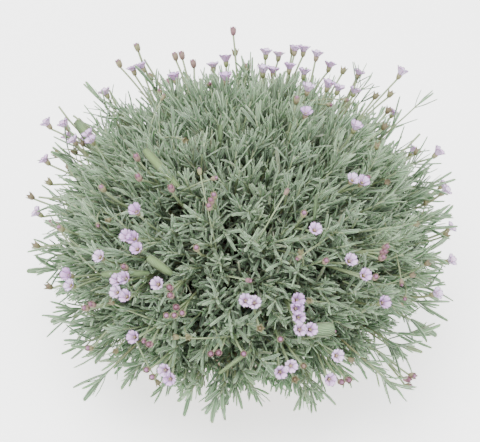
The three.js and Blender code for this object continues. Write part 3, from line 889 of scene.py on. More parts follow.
def discard(piece: Object) -> None:
    """Removes an object that was only needed on the way.

    Args:
        piece: The object.
    """
    mesh = piece.data
    bpy.data.objects.remove(piece)
    if mesh.users == 0:
        bpy.data.meshes.remove(mesh)


def read_all(items: Sequence, name: str, width: int = 1, kind: type = np.int32) -> np.ndarray:
    """Reads one property of all items of a mesh.

    Args:
        items: The items.
        name: The property's name.
        width: Count of its values for each item.
        kind: Their kind.

    Returns:
        The values.
    """
    values = np.zeros(len(items) * width, kind)
    items.foreach_get(name, values)
    return values


def carry(mesh: Mesh, name: str, kind: str, values: Sequence[float]) -> None:
    """Gives the points of a mesh the values of a named attribute of a kind."""
    data = mesh.attributes.new(name, kind, "POINT").data
    data.foreach_set("vector" if kind == "FLOAT_VECTOR" else "value", values)


def joined(name: str, parts: Sequence[tuple[Mesh, Material]]) -> Object:
    """Joins meshes, each with its finish, into one object.

    Args:
        name: The object's name.
        parts: The meshes and their finishes.

    Returns:
        The object, at the origin, in the scene.
    """
    mesh = bpy.data.meshes.new(name)
    places, corners, starts, slots, marks, tints = [], [], [], [], [], []
    point_count, corner_count = 0, 0
    for slot, (part, finish) in enumerate(parts):
        mesh.materials.append(finish)
        count, loops = len(part.vertices), len(part.loops)
        places.append(read_all(part.vertices, "co", 3, np.float32))
        corners.append(read_all(part.loops, "vertex_index") + point_count)
        starts.append(read_all(part.polygons, "loop_start") + corner_count)
        slots.append(np.full(len(part.polygons), slot, np.int32))
        layer, tint = part.uv_layers.get("UVMap"), part.attributes.get("tint")
        flat, plain = np.zeros(2 * loops, np.float32), np.zeros(count, np.float32)
        marks.append(read_all(layer.uv, "vector", 2, np.float32) if layer else flat)
        tints.append(read_all(tint.data, "value", 1, np.float32) if tint else plain)
        point_count += count
        corner_count += loops
        bpy.data.meshes.remove(part)
    mesh.vertices.add(point_count)
    mesh.vertices.foreach_set("co", np.concatenate(places))
    mesh.loops.add(corner_count)
    mesh.loops.foreach_set("vertex_index", np.concatenate(corners))
    mesh.polygons.add(sum(len(each) for each in starts))
    mesh.polygons.foreach_set("loop_start", np.concatenate(starts))
    mesh.polygons.foreach_set("material_index", np.concatenate(slots))
    mesh.update(calc_edges=True)
    mesh.uv_layers.new(name="UVMap").uv.foreach_set("vector", np.concatenate(marks))
    carry(mesh, "tint", "FLOAT", np.concatenate(tints))
    mesh.validate()
    return linked(name, mesh)


# ---- the flowers, as one view of the cushion shows them


@dataclass(frozen=True)
class Head:
    """A flower head.

    Attributes:
        at: How far right and up of the cushion's middle it stands in the view, in mm.
        open: Offsets of its open flowers across and along its own face, in mm.
        back: How much further from the eye it stands, in mm.
    """

    at: Pair
    open: Pairs = ()
    buds: Pairs = ()
    spent: Pairs = ()
    back: float = 0


ONE = ((0, 0),)


def bloom(right: float, up: float, back: float = 0) -> Head:
    """Returns a head of one open flower."""
    return Head((right, up), open=ONE, back=back)


def bud(right: float, up: float) -> Head:
    """Returns a head of one bud."""
    return Head((right, up), buds=ONE)


def cup(right: float, up: float, back: float = 0) -> Head:
    """Returns a head of one spent flower."""
    return Head((right, up), spent=ONE, back=back)


# The heads of each stalk.
SPRAYS: tuple[tuple[Head, ...], ...] = (
    (bloom(-107, 69), bloom(-97, 68)), (bloom(-84, 63), cup(-93, 55)), (bloom(-75, 86),),
    (Head((-60, 99), open=((0, 0), (5.2, -2.4))), bud(-68, 103)), (bud(-58, 112),),
    (bloom(-37, 94), Head((-37, 107), buds=((0, 0), (3.8, -1))), bud(-27, 103)),
    (bloom(-16, 101), bloom(-9, 104, 9), bloom(-9, 94)),
    (bud(-5, 121), cup(-4, 110, 8), bud(3, 101)),
    (bloom(13, 108), Head((17, 98), open=((0, 0), (-5.5, -2))), bloom(20, 107, 9)),
    (bloom(26, 100), Head((29, 110), open=((0, 0), (5, 3)), spent=((-1, 6.5),), back=5)),
    (bloom(34, 97), bloom(36, 88, -3)), (bloom(41, 107), bloom(48, 101, 10)),
    (Head((47, 90), open=((0, 0), (6, 0))), cup(56, 100)), (bloom(64, 97),),
    (bloom(87, 97), cup(82, 87), cup(74, 86)), (cup(81, 78), cup(79, 69), cup(75, 58)),
    (bloom(107, 53), cup(97, 55)), (bloom(111, 32),), (bloom(114, -6), cup(113, 9)),
    (bloom(106, -24),), (bloom(35, 75), bud(30, 83)), (bloom(62, 67),),
    (Head((66, 37), open=((0, 0), (-5.5, 0))),), (bloom(40, 11), bud(34, 20)),
    (bloom(59, -6), Head((67, -14), open=ONE, buds=((6.4, 0),)), bud(46, -6)), (bloom(77, -29),),
    (Head((31, -37), open=((0, 0), (-1.2, 4.4), (-0.6, 8.6), (0.6, -6.1), (6, -6))),),
    (bloom(52, -58), Head((48, -71), open=ONE, buds=((6.4, -1.5), (10.4, -0.5)))),
    (
        Head((21, -67), open=((0, 0), (5.4, 3)), buds=((11.8, 3),), spent=((7.6, -3.8),)),
        bud(21, -49),
    ),
    (Head((2, -28), open=((0, 0), (4.3, -1))), cup(10, -43)),
    (Head((-46, -19), open=ONE, buds=((6.2, -2), (6.6, -6))),),
    (Head((-68, -17), open=((0, 0), (4.3, 0.6), (-0.4, -6.1), (5, -8.8)), buds=((3.4, 6.8),)),),
    (bloom(-78, -4),), (Head((-63, 7), open=((0, 0), (3.9, -1.8), (5.8, -7.6))), bloom(-58, 21)),
    (Head((-95, -14), open=((0, 0), (1.5, -6))), cup(-107, -20)),
    (Head((-59, -48), open=ONE, buds=((8.3, -3.6),)),),
    (Head((-42, -66), open=((0, 0), (2.6, -4.4)), buds=((-9.8, 0), (-6.8, -3.6))),),
    (Head((-108, 49), open=ONE, spent=((6.6, 1),)), cup(-107, 38)),
    (bloom(-112, 20), cup(-117, 30)), (bud(-100, 12), cup(-114, 3)),
    (Head((91, -71), buds=((0, 0), (3.8, 1.5), (1, -3.8))),),
    (Head((78, -1), buds=((0, 0), (1.4, 3), (-1, -3.2))),),
    (Head((-17, -57), buds=((0, 0), (4, 0.5))), bud(1, -57)),
    (Head((-37, -36), buds=((-4, 0), (0, 0), (4, 1), (1, 4))),), (bud(-25, 1),),
    (bud(-57, 40), bud(-58, 51)), (bud(-39, 34),), (bud(-77, 34),),
    (Head((-17, 27), buds=((0, 0), (1.4, 3), (-1, -3.2))),),
    (Head((-86, -32), buds=((0, 0), (4, 1.5))), bud(-84, -54)),
)
# Tip and foot of each broad blade in the view, in mm, and which of the shapes it is.
BROAD_BLADES = (
    ((-52, -4), (-42, -11), 2), ((-78, -14), (-58, -13), 1), ((-93, 72), (-80, 56), 1),
    ((-55, 56), (-40, 40), 1), ((-13, -68), (1, -58), 0), ((51, -43), (39, -44), 3),
    ((-12, 69), (-12, 62), 2), ((41, 31), (40, 20), 1),
)
# Tip of each long shoot in the view, where it leaves the cushion there, and its pairs of leaves.
LONG_SHOOTS = (
    ((-83, 90), (-69, 71), 2), ((-101, 79), (-87, 57), 0), ((-93, 74), (-78, 63), 0),
    ((-82, 81), (-70, 71), 2), ((-83, 76), (-79, 68), 2), ((-76, 82), (-63, 75), 2),
    ((-73, 88), (-68, 70), 0), ((-66, 84), (-60, 74), 2), ((-54, 105), (-39, 82), 0),
    ((-48, 99), (-47, 88), 2), ((-43, 96), (-37, 86), 2), ((-103, 60), (-94, 51), 2),
    ((-98, 63), (-88, 55), 2), ((-102, 55), (-87, 43), 2), ((-108, 31), (-99, 26), 2),
    ((-112, 29), (-83, 27), 0), ((-104, 16), (-94, 15), 2), ((66, 104), (61, 84), 1),
    ((73, 99), (60, 80), 1), ((67, 97), (62, 86), 1), ((75, 88), (63, 80), 1),
    ((105, 88), (79, 63), 1), ((84, 79), (83, 67), 2), ((98, 64), (80, 43), 0),
    ((90, 63), (85, 55), 2), ((103, 55), (90, 44), 2), ((97, 48), (93, 39), 2),
    ((104, 43), (97, 36), 2), ((110, 38), (99, 33), 2), ((111, 21), (103, 13), 2),
    ((112, 16), (103, 12), 2), ((111, 0), (100, -1), 2), ((107, 5), (101, 0), 2),
    ((106, -5), (99, -12), 2), ((113, -15), (99, -22), 2), ((110, -31), (97, -29), 2),
    ((104, -45), (88, -35), 2), ((105, -42), (84, -50), 3), ((98, -55), (81, -51), 3),
    ((93, -59), (80, -52), 2), ((93, -82), (64, -58), 4), ((82, -79), (77, -70), 1),
    ((64, -68), (62, -58), 2), ((35, -87), (37, -66), 2), ((45, -84), (37, -70), 2),
    ((27, -83), (28, -69), 2), ((-34, -86), (-24, -70), 2), ((-20, -90), (-9, -73), 3),
    ((-15, -91), (-8, -73), 2), ((-2, -86), (-4, -72), 2), ((16, -85), (0, -70), 1),
    ((-85, -79), (-71, -64), 4), ((-98, -51), (-79, -50), 3), ((-108, -36), (-93, -38), 3),
    ((-104, -30), (-89, -34), 3), ((-113, -9), (-99, -11), 2), ((-113, -4), (-103, -3), 1),
    ((-96, -46), (-83, -41), 3), ((-88, -59), (-69, -52), 3), ((-67, -65), (-50, -61), 3),
)


def inside_sprig(point: Vector, sprig: int, margin: float) -> Vector:
    """Moves a point until it lies a margin inside its sprig.

    Args:
        point: The point.
        sprig: Number of the sprig.
        margin: The margin, in mm.

    Returns:
        The moved point.
    """
    moved = point.copy()
    own = SPRIGS[sprig]
    facings = [(other - own).normalized() for other in SPRIGS if other is not own]
    for _ in range(6):
        for facing in facings:
            past = (moved - FORM.centre).dot(facing) + margin
            if past > 0:
                moved -= facing * past
    return moved


def head_facing(point: Vector) -> Vector:
    """Returns the way that a head at a point faces: out of the cushion, turned up to the light."""
    facing = FORM.facing(point)
    return (facing + UP * between(0.95, 0.35, held(facing.z + 0.3))).normalized()


def flowers_of(head: Head, point: Vector) -> list[Flower]:
    """Places the flowers of a head.

    Args:
        head: The head.
        point: Its middle.

    Returns:
        The flowers.
    """
    facing = head_facing(point)
    across = square_to(facing, VIEW.right)
    along = facing.cross(across)
    return [
        Flower(kind, point + across * right + along * up, facing, across, along)
        for kind in FlowerKind
        for right, up in getattr(head, kind.value)
    ]


@dataclass
class Spray:
    """A stalk's heads, each a list of flowers; far ones stand on the side the view hides."""

    heads: list[list[Flower]]
    far: bool = False

    @property
    def flowers(self) -> list[Flower]:
        """All its flowers."""
        return [flower for head in self.heads for flower in head]

    @property
    def middle(self) -> Vector:
        """The middle of its flowers."""
        centres = [flower.centre for flower in self.flowers]
        return sum(centres, Vector()) / len(centres)


@dataclass(frozen=True)
class SprayLayout:
    """Where all sprays stand.

    Attributes:
        share: Share of the cushion at which the seen heads stand.
        far_kinds: The heads on the far side, in turn.
        far_turn: How much of the half turn they fill.
    """

    share: float = 1.05
    far_kinds: Sequence[Head] = (bloom(0, 0), bloom(0, 0), bud(0, 0), cup(0, 0))
    far_count: int = 18
    far_lift: Pair = (0.02, 0.72)
    far_share: Pair = (1.05, 1.15)
    far_turn: float = 0.92

    def seen(self) -> list[Spray]:
        """Places the sprays that the view shows, and returns them."""
        place = VIEW.place
        return [
            Spray([flowers_of(head, place(head.at, self.share, head.back)) for head in heads])
            for heads in SPRAYS
        ]

    def far(self) -> list[Spray]:
        """Places single heads over the far side.

        Returns:
            Their sprays.
        """
        sprays = []
        for number in range(self.far_count):
            lift = between(*self.far_lift, (number + 0.5) / self.far_count)
            half = (number * GOLDEN_ANGLE) % math.pi - math.pi / 2
            share = drawn(*self.far_share, number, 40)
            point = FORM.point(math.pi / 2 + half * self.far_turn, lift, share)
            head = self.far_kinds[number % len(self.far_kinds)]
            sprays.append(Spray([flowers_of(head, point)], far=True))
        return sprays


# ---- how the plant grows


class LeafKind(Enum):
    """The forms of a leaf, by the place of their group of four in the shapes."""

    NARROW = 0
    BROAD = 4
    WIDE = 8


class CalyxKind(Enum):
    """The forms of a calyx, by their place in the shapes."""

    CLOSED = 0
    OPEN = 1
    DRY = 2


@dataclass(frozen=True)
class Habit:
    """How the shoots and leaves of the plant grow, in mm and degrees.

    Attributes:
        foot: Share of the cushion at which shoots leave the crown.
        low_foot: Lift under which no shoot leaves it.
        aims: Lifts, each with the height over the floor that shoots there point away from.
        stray: How far a shoot strays from its way, as a share.
        long_ones: Share of the shoots that stand out of the cushion.
        tuft: Length of the leaves on the end of a long shoot.
        fallen: Count of the pale stalks that lie across the leaves.
        clear: Radius and height under which a leaf would meet the pan.
    """

    main_shoots: int = 72
    fill_shoots: int = 1330
    lowest: float = -0.42
    foot: Pair = (0.1, 0.16)
    low_foot: float = 0.25
    aims: Pairs = ((-0.42, 76), (0, 46), (0.34, 24), (1, 24))
    stray: float = 0.42
    long_ones: float = 0.07
    gap: Pair = (5.2, 7.5)
    pairs: Pair = (5, 8)
    tuft: float = 11
    apart: float = 1.35
    length: Pair = (9.5, 15.5)
    spread: Pair = (14, 42)
    litter: int = 6200
    fallen: int = 56
    clear: Pair = (59.5, 54)

    def clear_of_pan(self, *points: Vector) -> bool:
        """Tells whether all points stay off the pan's wall and rim."""
        radius, height = self.clear
        return not any(math.hypot(each.x, each.y) < radius and each.z < height for each in points)

    def lift(self, number: int, count: int) -> float:
        """Returns the lift of one of a count of shoots, from the top down."""
        return 1 - (number + 0.5) / count * (1 - self.lowest)


@dataclass
class Shoot:
    """A leafy shoot or a bare stalk in the leaves.

    Attributes:
        pairs: Count of its pairs of leaves, but for the tuft on its end; a bare one has none.
        apart: How much further apart than usual they stand.
    """

    growth: Growth
    number: int
    start: Vector
    bend: Vector
    end: Vector
    pairs: int
    apart: float = 1

    @property
    def fresh(self) -> float:
        """How much paler its leaves are than the others."""
        return drawn(-0.18, 0.18, self.number, 14)

    def point(self, share: float) -> Vector:
        """Returns the point at a share of its way."""
        start, bend, end = self.start, self.bend, self.end
        return start * (1 - share) ** 2 + bend * (2 * share * (1 - share)) + end * share**2

    def axis(self, share: float) -> Vector:
        """Returns the way it grows at a share of its way."""
        start, bend, end = self.start, self.bend, self.end
        return ((bend - start) * (1 - share) + (end - bend) * share).normalized()


@dataclass
class Plant:
    """Works out what each piece of foliage and each flower head holds.

    Attributes:
        heads: What each head of open flowers holds, in the order of the solids.
    """

    habit: Habit = Habit()
    growths: list[Growth] = field(default_factory=lambda: [Growth() for _ in SPRIGS])
    heads: list[Growth] = field(default_factory=list)

    def grow(self) -> None:
        """Grows the shoots, the litter, the blades and the flowers."""
        habit = self.habit
        for number in range(habit.main_shoots):
            azimuth = number * GOLDEN_ANGLE + drawn(-0.08, 0.08, number, 1)
            lift = habit.lift(number, habit.main_shoots)
            self.grow_shoot(number, azimuth, lift, drawn(0.84, 0.9, number, 2))
        for number in range(habit.fill_shoots):
            lift = habit.lift(number, habit.fill_shoots)
            lift = min(lift + drawn(-0.03, 0.03, number, 9), 0.998)
            azimuth = (number + 0.37) * GOLDEN_ANGLE + drawn(-0.3, 0.3, number, 10)
            reach = between(0.72, 0.94, chance(number, 8) ** 0.8)
            reach += 0.05 * min(max(lift, 0) / 0.3, 1)
            if chance(number, 53) < habit.long_ones:
                reach = drawn(0.96, 1.05, number, 54)
            self.grow_shoot(1000 + number, azimuth, lift, reach)
        for number in range(habit.litter):
            self.drop_litter(number)
        for number in range(habit.fallen):
            self.lay_stalk(number)
        for number, (tip, leave, pairs) in enumerate(LONG_SHOOTS):
            self.stretch_shoot(3000 + number, tip, leave, pairs)
        for number, (tip, foot, shape) in enumerate(BROAD_BLADES):
            self.grow_blade(number, tip, foot, shape)
        layout = SprayLayout()
        for number, spray in enumerate(layout.seen() + layout.far()):
            self.grow_stalk(number, spray)

    def heading(self, number: int, end: Vector, lift: float) -> Vector:
        """Finds the way that a shoot points at its end: steeper than the cushion's sides, yet
        drooping at its foot.

        Args:
            number: The shoot's number.
            end: Its end.
            lift: Its lift.

        Returns:
            The way.
        """
        aims = self.habit.aims
        level = aims[-1][1]
        for (low, height), (high, next_height) in zip(aims, aims[1:]):
            if lift < high:
                level = between(height, next_height, max(lift - low, 0) / (high - low))
                break
        way = (end - UP * level).normalized()
        return (way + loose(number, 55) * (2 * self.habit.stray)).normalized()

    def grow_shoot(self, number: int, azimuth: float, lift: float, reach: float) -> None:
        """Grows one arching shoot with crossed pairs of leaves and a tuft on its end.

        Args:
            number: A number of its own.
            azimuth: Where round the cushion it ends.
            lift: How high.
            reach: How far out, as a share of the cushion.
        """
        habit = self.habit
        end = FORM.point(azimuth, lift, reach)
        turned = azimuth + drawn(-0.35, 0.35, number, 11)
        start = FORM.point(turned, max(lift, habit.low_foot), drawn(*habit.foot, number, 12))
        bend = end - self.heading(number, end, lift) * (0.45 * (end - start).length)
        pairs = round(drawn(*habit.pairs, number, 15))
        self.clothe(Shoot(self.growths[sprig_of(end)], number, start, bend, end, pairs))

    def stretch_shoot(self, number: int, tip: Pair, leave: Pair, pairs: int) -> None:
        """Grows a long shoot that stands out of the cushion.

        Args:
            number: A number of its own.
            tip: Its tip in the view, in mm right and up of the middle.
            leave: The same of the place where it leaves the cushion.
            pairs: Count of its pairs of leaves; without any it is a bare stalk.
        """
        habit = self.habit
        top = VIEW.place(tip, 1.0)
        out = VIEW.right * (tip[0] - leave[0]) + VIEW.up * (tip[1] - leave[1])
        foot = top - out
        azimuth, lift, _ = FORM.place(foot)
        start = FORM.point(azimuth, max(lift, habit.low_foot), 0.14)
        end = top - out.normalized() * (habit.tuft if pairs else 0)
        growth = self.growths[sprig_of(foot)]
        self.clothe(Shoot(growth, number, start, foot - out * 0.15, end, pairs, habit.apart))

    def clothe(self, shoot: Shoot) -> None:
        """Draws the stem of a shoot and sets its leaves.

        Args:
            shoot: The shoot.
        """
        number, most = shoot.number, shoot.pairs
        steps = 7
        shares = [step / steps for step in range(steps + 1)]
        halves = [between(0.75, 0.42 if most else 0.6, share) for share in shares]
        tints = [between(0.0, 0.85, share**1.5) for share in shares]
        path = arc(shoot.start, shoot.bend, shoot.end, steps)
        shoot.growth.stems.append(Stem(path, halves, tints))
        if not most:
            return
        length = (shoot.end - shoot.start).length
        last = (shoot.end - shoot.bend).normalized()
        hint = turned_about(any_square(last), last, number * 2.4)
        back = drawn(1.0, 2.5, number, 16)
        for pair in range(-1, most):
            share = 1 - max(back, 0) / length
            if share < 0.32:
                break
            axis = shoot.axis(share)
            out = turned_about(square_to(axis, hint), axis, pair * math.pi / 2)
            age = (pair + 1) / most
            for way in (1, -1):
                mark = (number * 10 + pair + 2) * 2 + way
                self.set_leaf(shoot, mark, share, out * way, age)
            back = 0 if pair == -1 else back
            gap = drawn(*self.habit.gap, number * 10 + pair, 17) * shoot.apart
            back += gap * (0.5 + 0.5 * min(age + 0.3, 1))

    def set_leaf(self, shoot: Shoot, number: int, share: float, out: Vector, age: float) -> None:
        """Sets one leaf on a shoot; long shoots have broader ones.

        Args:
            shoot: The shoot.
            number: A number of the leaf's own.
            share: Share of the shoot's way at which it grows.
            out: The way to its side.
            age: 0 at the shoot's end, 1 at its oldest leaves.
        """
        habit = self.habit
        foot, axis, sturdy = shoot.point(share), shoot.axis(share), shoot.apart > 1
        size = between(*habit.length, min(age * 3, 1)) * drawn(0.8, 1.15, number, 18)
        size *= 1 - 0.3 * max(age - 0.6, 0) / 0.4
        lean = math.radians(between(*habit.spread, age**0.7) * drawn(0.7, 1.3, number, 19))
        way = (axis * math.cos(lean) + out * math.sin(lean)).normalized()
        way = (way + loose(number, 20) * 0.22).normalized()
        tip = foot + way * size
        if not habit.clear_of_pan(foot, foot.lerp(tip, 0.5), tip):
            return
        tint = max(between(0.8, 0.22, age) + shoot.fresh + drawn(-0.14, 0.14, number, 24), 0.2)
        if age > 0.55 and chance(number, 25) < 0.16:
            tint = drawn(0.0, 0.14, number, 26)
        low = 0.9 * held((95 - foot.z) / 50)
        far = held((foot.y + 50) / 110)
        kind = LeafKind.WIDE
        if chance(number, 27) > low:
            broad = (sturdy and far < 0.6) or chance(number, 29) < between(0.85, 0.15, far)
            kind = LeafKind.BROAD if broad else LeafKind.NARROW
        size *= between(0.86, 1.2, far) * (1 if kind is LeafKind.NARROW else 0.95)
        size *= between(1.3, 1.0, far) if sturdy else 1
        shape = kind.value + int(chance(number, 28) * 4)
        shoot.growth.leaves.append(Spot(foot, way, axis, size, shape, min(tint, 1)))

    def drop_litter(self, number: int) -> None:
        """Sets one short dark or dry leaf among the shoots, deep inside; the green ones get paler
        tints than that depth would show, painted light that lifts the shade there.

        Args:
            number: Its number.
        """
        lift = 1 - (number + 0.5) / self.habit.litter * 1.3
        azimuth = number * GOLDEN_ANGLE + chance(number, 30)
        foot = FORM.point(azimuth, lift, drawn(0.44, 0.8, number, 31))
        way = ((foot - FORM.centre).normalized() + loose(number, 32) * 1.9).normalized()
        size = drawn(10, 17, number, 35)
        if not self.habit.clear_of_pan(foot, foot + way * size):
            return
        # The green litter's tints are painted light: paler than leaves this deep would look, to
        # lift the shade inside the cushion.
        tints = (0.0, 0.16) if chance(number, 37) < 0.2 else (0.4, 0.8)
        shape = int(chance(number, 38) * 8)
        leaf = Spot(foot, way, UP, size, shape, drawn(*tints, number, 36))
        self.growths[sprig_of(foot)].leaves.append(leaf)

    def lay_stalk(self, number: int) -> None:
        """Lays a thin pale stalk across the leaves, with a bud or a dry cup on its end.

        Args:
            number: Its number.
        """
        azimuth = number * GOLDEN_ANGLE
        lift = drawn(0.0, 0.85, number, 42)
        aside = drawn(-0.4, 0.4, number, 41) / math.sqrt(1 - lift * lift)
        drop = drawn(-0.3, 0.2, number, 43)
        start = FORM.point(azimuth, lift, 0.84)
        end = FORM.point(azimuth + aside, lift + drop, drawn(0.97, 1.03, number, 44))
        bend = start.lerp(end, 0.55) + FORM.facing(end) * drawn(2, 6, number, 40)
        growth = self.growths[sprig_of(end)]
        path = arc(start, bend, end, 6)
        pale = drawn(0.5, 0.85, number, 39)
        growth.stems.append(Stem(path, [0.42] * len(path), [pale] * len(path)))
        way = (path[-1] - path[-2]).normalized()
        self.set_bracts(growth, number + 500, path, 0.6)
        if chance(number, 45) < 0.4:
            kind, tints = CalyxKind.DRY, (0.82, 1.0)
        else:
            kind, tints = CalyxKind.CLOSED, (0.2, 0.75)
            tint = drawn(0.3, 1, number, 47)
            growth.buds.append(Spot(end + way * 2.0, way, UP, 0.8, 0, tint))
        growth.calyces.append(Spot(end, way, UP, 0.8, kind.value, drawn(*tints, number, 46)))

    @staticmethod
    def set_bracts(growth: Growth, number: int, path: list[Vector], share: float) -> None:
        """Sets a pair of small bracts on a stalk.

        Args:
            growth: Its piece of foliage.
            number: A number of their own.
            path: The stalk's points.
            share: Share of its way at which they stand.
        """
        at = round(share * (len(path) - 1))
        axis = (path[min(at + 1, len(path) - 1)] - path[at - 1]).normalized()
        out = turned_about(any_square(axis), axis, number * 1.7)
        lean = math.radians(drawn(20, 40, number, 48))
        size = drawn(3.5, 7, number, 49)
        for way in (1, -1):
            along = axis * math.cos(lean) + out * (way * math.sin(lean))
            growth.leaves.append(Spot(path[at], along, axis, size, LeafKind.BROAD.value, 0.85))

    def grow_blade(self, number: int, tip: Pair, foot: Pair, shape: int) -> None:
        """Lays a broad pale blade over the leaves.

        Args:
            number: A number of its own.
            tip: Its tip in the view, in mm right and up of the middle.
            foot: The same of the place where it comes out of the leaves.
            shape: Which of the shapes it is.
        """
        top = VIEW.place(tip, 1.05)
        way = (top - VIEW.place(foot, 0.98)) * 1.35
        tint = chance(number, 50)
        blade = Spot(top - way, way.normalized(), FORM.facing(top), way.length, shape, tint)
        self.growths[sprig_of(top)].blades.append(blade)

    def grow_stalk(self, number: int, spray: Spray) -> None:
        """Grows a stalk up to the flowers of its heads.

        Args:
            number: A number of its own.
            spray: Its flowers.
        """
        middle, flowers = spray.middle, spray.flowers
        sprig = sprig_of(middle)
        growth = self.growths[sprig]
        azimuth, lift, _ = FORM.place(middle)
        start = FORM.point(azimuth, max(lift, self.habit.low_foot), 0.13)
        leave = inside_sprig(FORM.point(azimuth, max(lift, 0.09), 0.51), sprig, 2)
        necks = [
            flower.centre - flower.facing * (2.9 if flower.kind is FlowerKind.BUD else 3.4)
            for flower in flowers
        ]
        inner = arc(start, start.lerp(leave, 0.5) + UP * 3, leave, 3)
        if len(flowers) == 1:
            reach = (necks[0] - leave).length
            outer = arc(leave, necks[0] - flowers[0].facing * (0.35 * reach), necks[0], 9)
            self.draw_stalk(growth, number, inner + outer[1:])
        else:
            spread = max((flower.centre - middle).length for flower in flowers)
            fork = leave.lerp(middle, max(0.74 - 0.03 * spread, 0.3))
            outer = arc(leave, leave.lerp(fork, 0.5) + UP * 1.2, fork, 6)
            self.draw_stalk(growth, number, inner + outer[1:])
            self.set_bracts(growth, number + 90, outer, 1)
            self.draw_branches(growth, fork, (fork - leave).normalized(), necks)
        for place, flower in enumerate(flowers):
            self.set_flower(growth, number * 12 + place, flower, necks[place])
        for head in spray.heads:
            self.open_head(growth, head, spray.far)

    @staticmethod
    def draw_branches(growth: Growth, fork: Vector, axis: Vector, necks: list[Vector]) -> None:
        """Draws the branches of a forked stalk, two from each place.

        Args:
            growth: Its piece of foliage.
            fork: Where it forks.
            axis: The way it grows there.
            necks: Where the branches end.
        """
        steps = 6
        for place, neck in enumerate(necks):
            foot = fork - axis * (1.3 * (place // 2))
            bow = axis * (0.22 * (neck - foot).length)
            path = arc(foot, foot.lerp(neck, 0.45) + bow, neck, steps)
            tints = [between(0.55, 0.75, step / steps) for step in range(steps + 1)]
            growth.stems.append(Stem(path, [0.58] * (steps + 1), tints))

    def draw_stalk(self, growth: Growth, number: int, path: list[Vector]) -> None:
        """Draws the stalk of a spray with a pair of bracts on its way.

        Args:
            growth: Its piece of foliage.
            number: A number of its own.
            path: Its points.
        """
        last = len(path) - 1
        pale = drawn(0.48, 0.72, number, 71)
        tints = [between(0.15, pale, min(2.2 * step / last, 1)) for step in range(last + 1)]
        halves = [between(0.78, 0.68, step / last) for step in range(last + 1)]
        growth.stems.append(Stem(path, halves, tints))
        self.set_bracts(growth, number, path, 0.72)

    @staticmethod
    def set_flower(growth: Growth, number: int, flower: Flower, neck: Vector) -> None:
        """Sets the calyx of a flower, with the bud or the withered petals that stand in it.

        Args:
            growth: Its piece of foliage.
            number: A number of its own.
            flower: The flower.
            neck: The foot of its calyx.
        """
        facing, above = flower.facing, flower.along
        hue = chance(number, 51)
        kind, size, tints = {
            FlowerKind.OPEN: (CalyxKind.OPEN, 1, (0.0, 0.45)),
            FlowerKind.BUD: (CalyxKind.CLOSED, 1.1, (0.15, 0.75)),
            FlowerKind.SPENT: (CalyxKind.DRY, 1, (0.8, 1)),
        }[flower.kind]
        growth.calyces.append(Spot(neck, facing, above, size, kind.value, between(*tints, hue)))
        if flower.kind is FlowerKind.BUD:
            growth.buds.append(Spot(neck + facing * 2.4, facing, above, 1.08, 0, hue))
        elif flower.kind is FlowerKind.SPENT:
            growth.buds.append(Spot(neck + facing * 1.9, facing, above, 0.7, 0, 0))

    def open_head(self, growth: Growth, head: list[Flower], far: bool) -> None:
        """Opens the flowers of a head, each with a petal towards the flower before it.

        Args:
            growth: The piece of foliage that its stalk belongs to.
            head: The head.
            far: Whether it stands on the far side, where it has no solid of its own.
        """
        blooms = [flower for flower in head if flower.kind is FlowerKind.OPEN]
        if not blooms:
            return
        if not far:
            self.heads.append(Growth())
        holder = growth if far else self.heads[-1]
        for place, flower in enumerate(blooms):
            mark = round(flower.centre.x + 200)
            turn = chance(mark, 7) * TURN
            if place:
                back = blooms[place - 1].centre - flower.centre
                turn = math.atan2(back.dot(flower.along), back.dot(flower.across))
            petal = flower.across * math.cos(turn) + flower.along * math.sin(turn)
            above = flower.facing.cross(petal)
            centre = flower.centre - flower.facing * (0.7 if far else 0)
            tint = chance(mark, 52)
            for spots, forms in ((holder.corollas, 4), (holder.hearts, 3)):
                spots.append(Spot(centre, flower.facing, above, 1, mark % forms, tint))


# ---- finishes: patterns, the colours laid over one another by them, and what each finish is of


class Given(Enum):
    """What a piece tells its finish at each place."""

    TINT = "tint"
    ACROSS = "across its shape"
    ALONG = "along its shape"
    PLACE = "place in the object"
    HEIGHT = "height in the object"


@dataclass(frozen=True)
class Pattern:
    """A value or a colour that changes over a piece, as a node makes it.

    Attributes:
        inputs: Its sockets by name or number, each with what goes into it.
        output: The socket that the pattern comes out of.
        stops: The places and colours of a colour ramp, as a screen shows them.
    """

    kind: str
    inputs: tuple[tuple[str | int, object], ...]
    output: str | int = 0
    settings: tuple[tuple[str, object], ...] = ()
    stops: tuple[tuple[float, int, int, int], ...] = ()


class Shader(Nodes):
    """The nodes of one finish under construction."""

    def __init__(self, name: str) -> None:
        """Starts a finish with a surface and with what a piece tells it.

        Args:
            name: Its name.
        """
        self.material = bpy.data.materials.new(name)
        self.material.use_nodes = True
        self.tree = self.material.node_tree
        self.tree.nodes.clear()
        self.surface = self.node("ShaderNodeBsdfPrincipled", {})
        self.node("ShaderNodeOutputMaterial", {"Surface": self.surface.outputs[0]})
        objects = self.node("ShaderNodeTexCoord", {}).outputs["Object"]
        flat = self.node("ShaderNodeUVMap", {}).outputs[0]
        marks = self.node("ShaderNodeSeparateXYZ", {0: flat}).outputs
        self.made: dict[Given | Pattern, NodeSocket] = {
            Given.TINT: self.node("ShaderNodeAttribute", {}, attribute_name="tint").outputs["Fac"],
            Given.ACROSS: marks["X"],
            Given.ALONG: marks["Y"],
            Given.PLACE: objects,
            Given.HEIGHT: self.node("ShaderNodeSeparateXYZ", {0: objects}).outputs["Z"],
        }

    def feed(self, socket: NodeSocket, value: object) -> None:
        """Gives a socket a value, another node's socket or a pattern, whose node is added once.

        Args:
            socket: The socket.
            value: What goes into it.
        """
        if isinstance(value, Pattern) and value not in self.made:
            node = self.node(value.kind, dict(value.inputs), **dict(value.settings))
            for number, (place, *colour) in enumerate(value.stops):
                band = node.color_ramp.elements
                element = band[number] if number < 2 else band.new(1.0)
                element.position, element.color = place, srgb(*colour)
            self.made[value] = node.outputs[value.output]
        if isinstance(value, (Given, Pattern)):
            value = self.made[value]
        super().feed(socket, value)


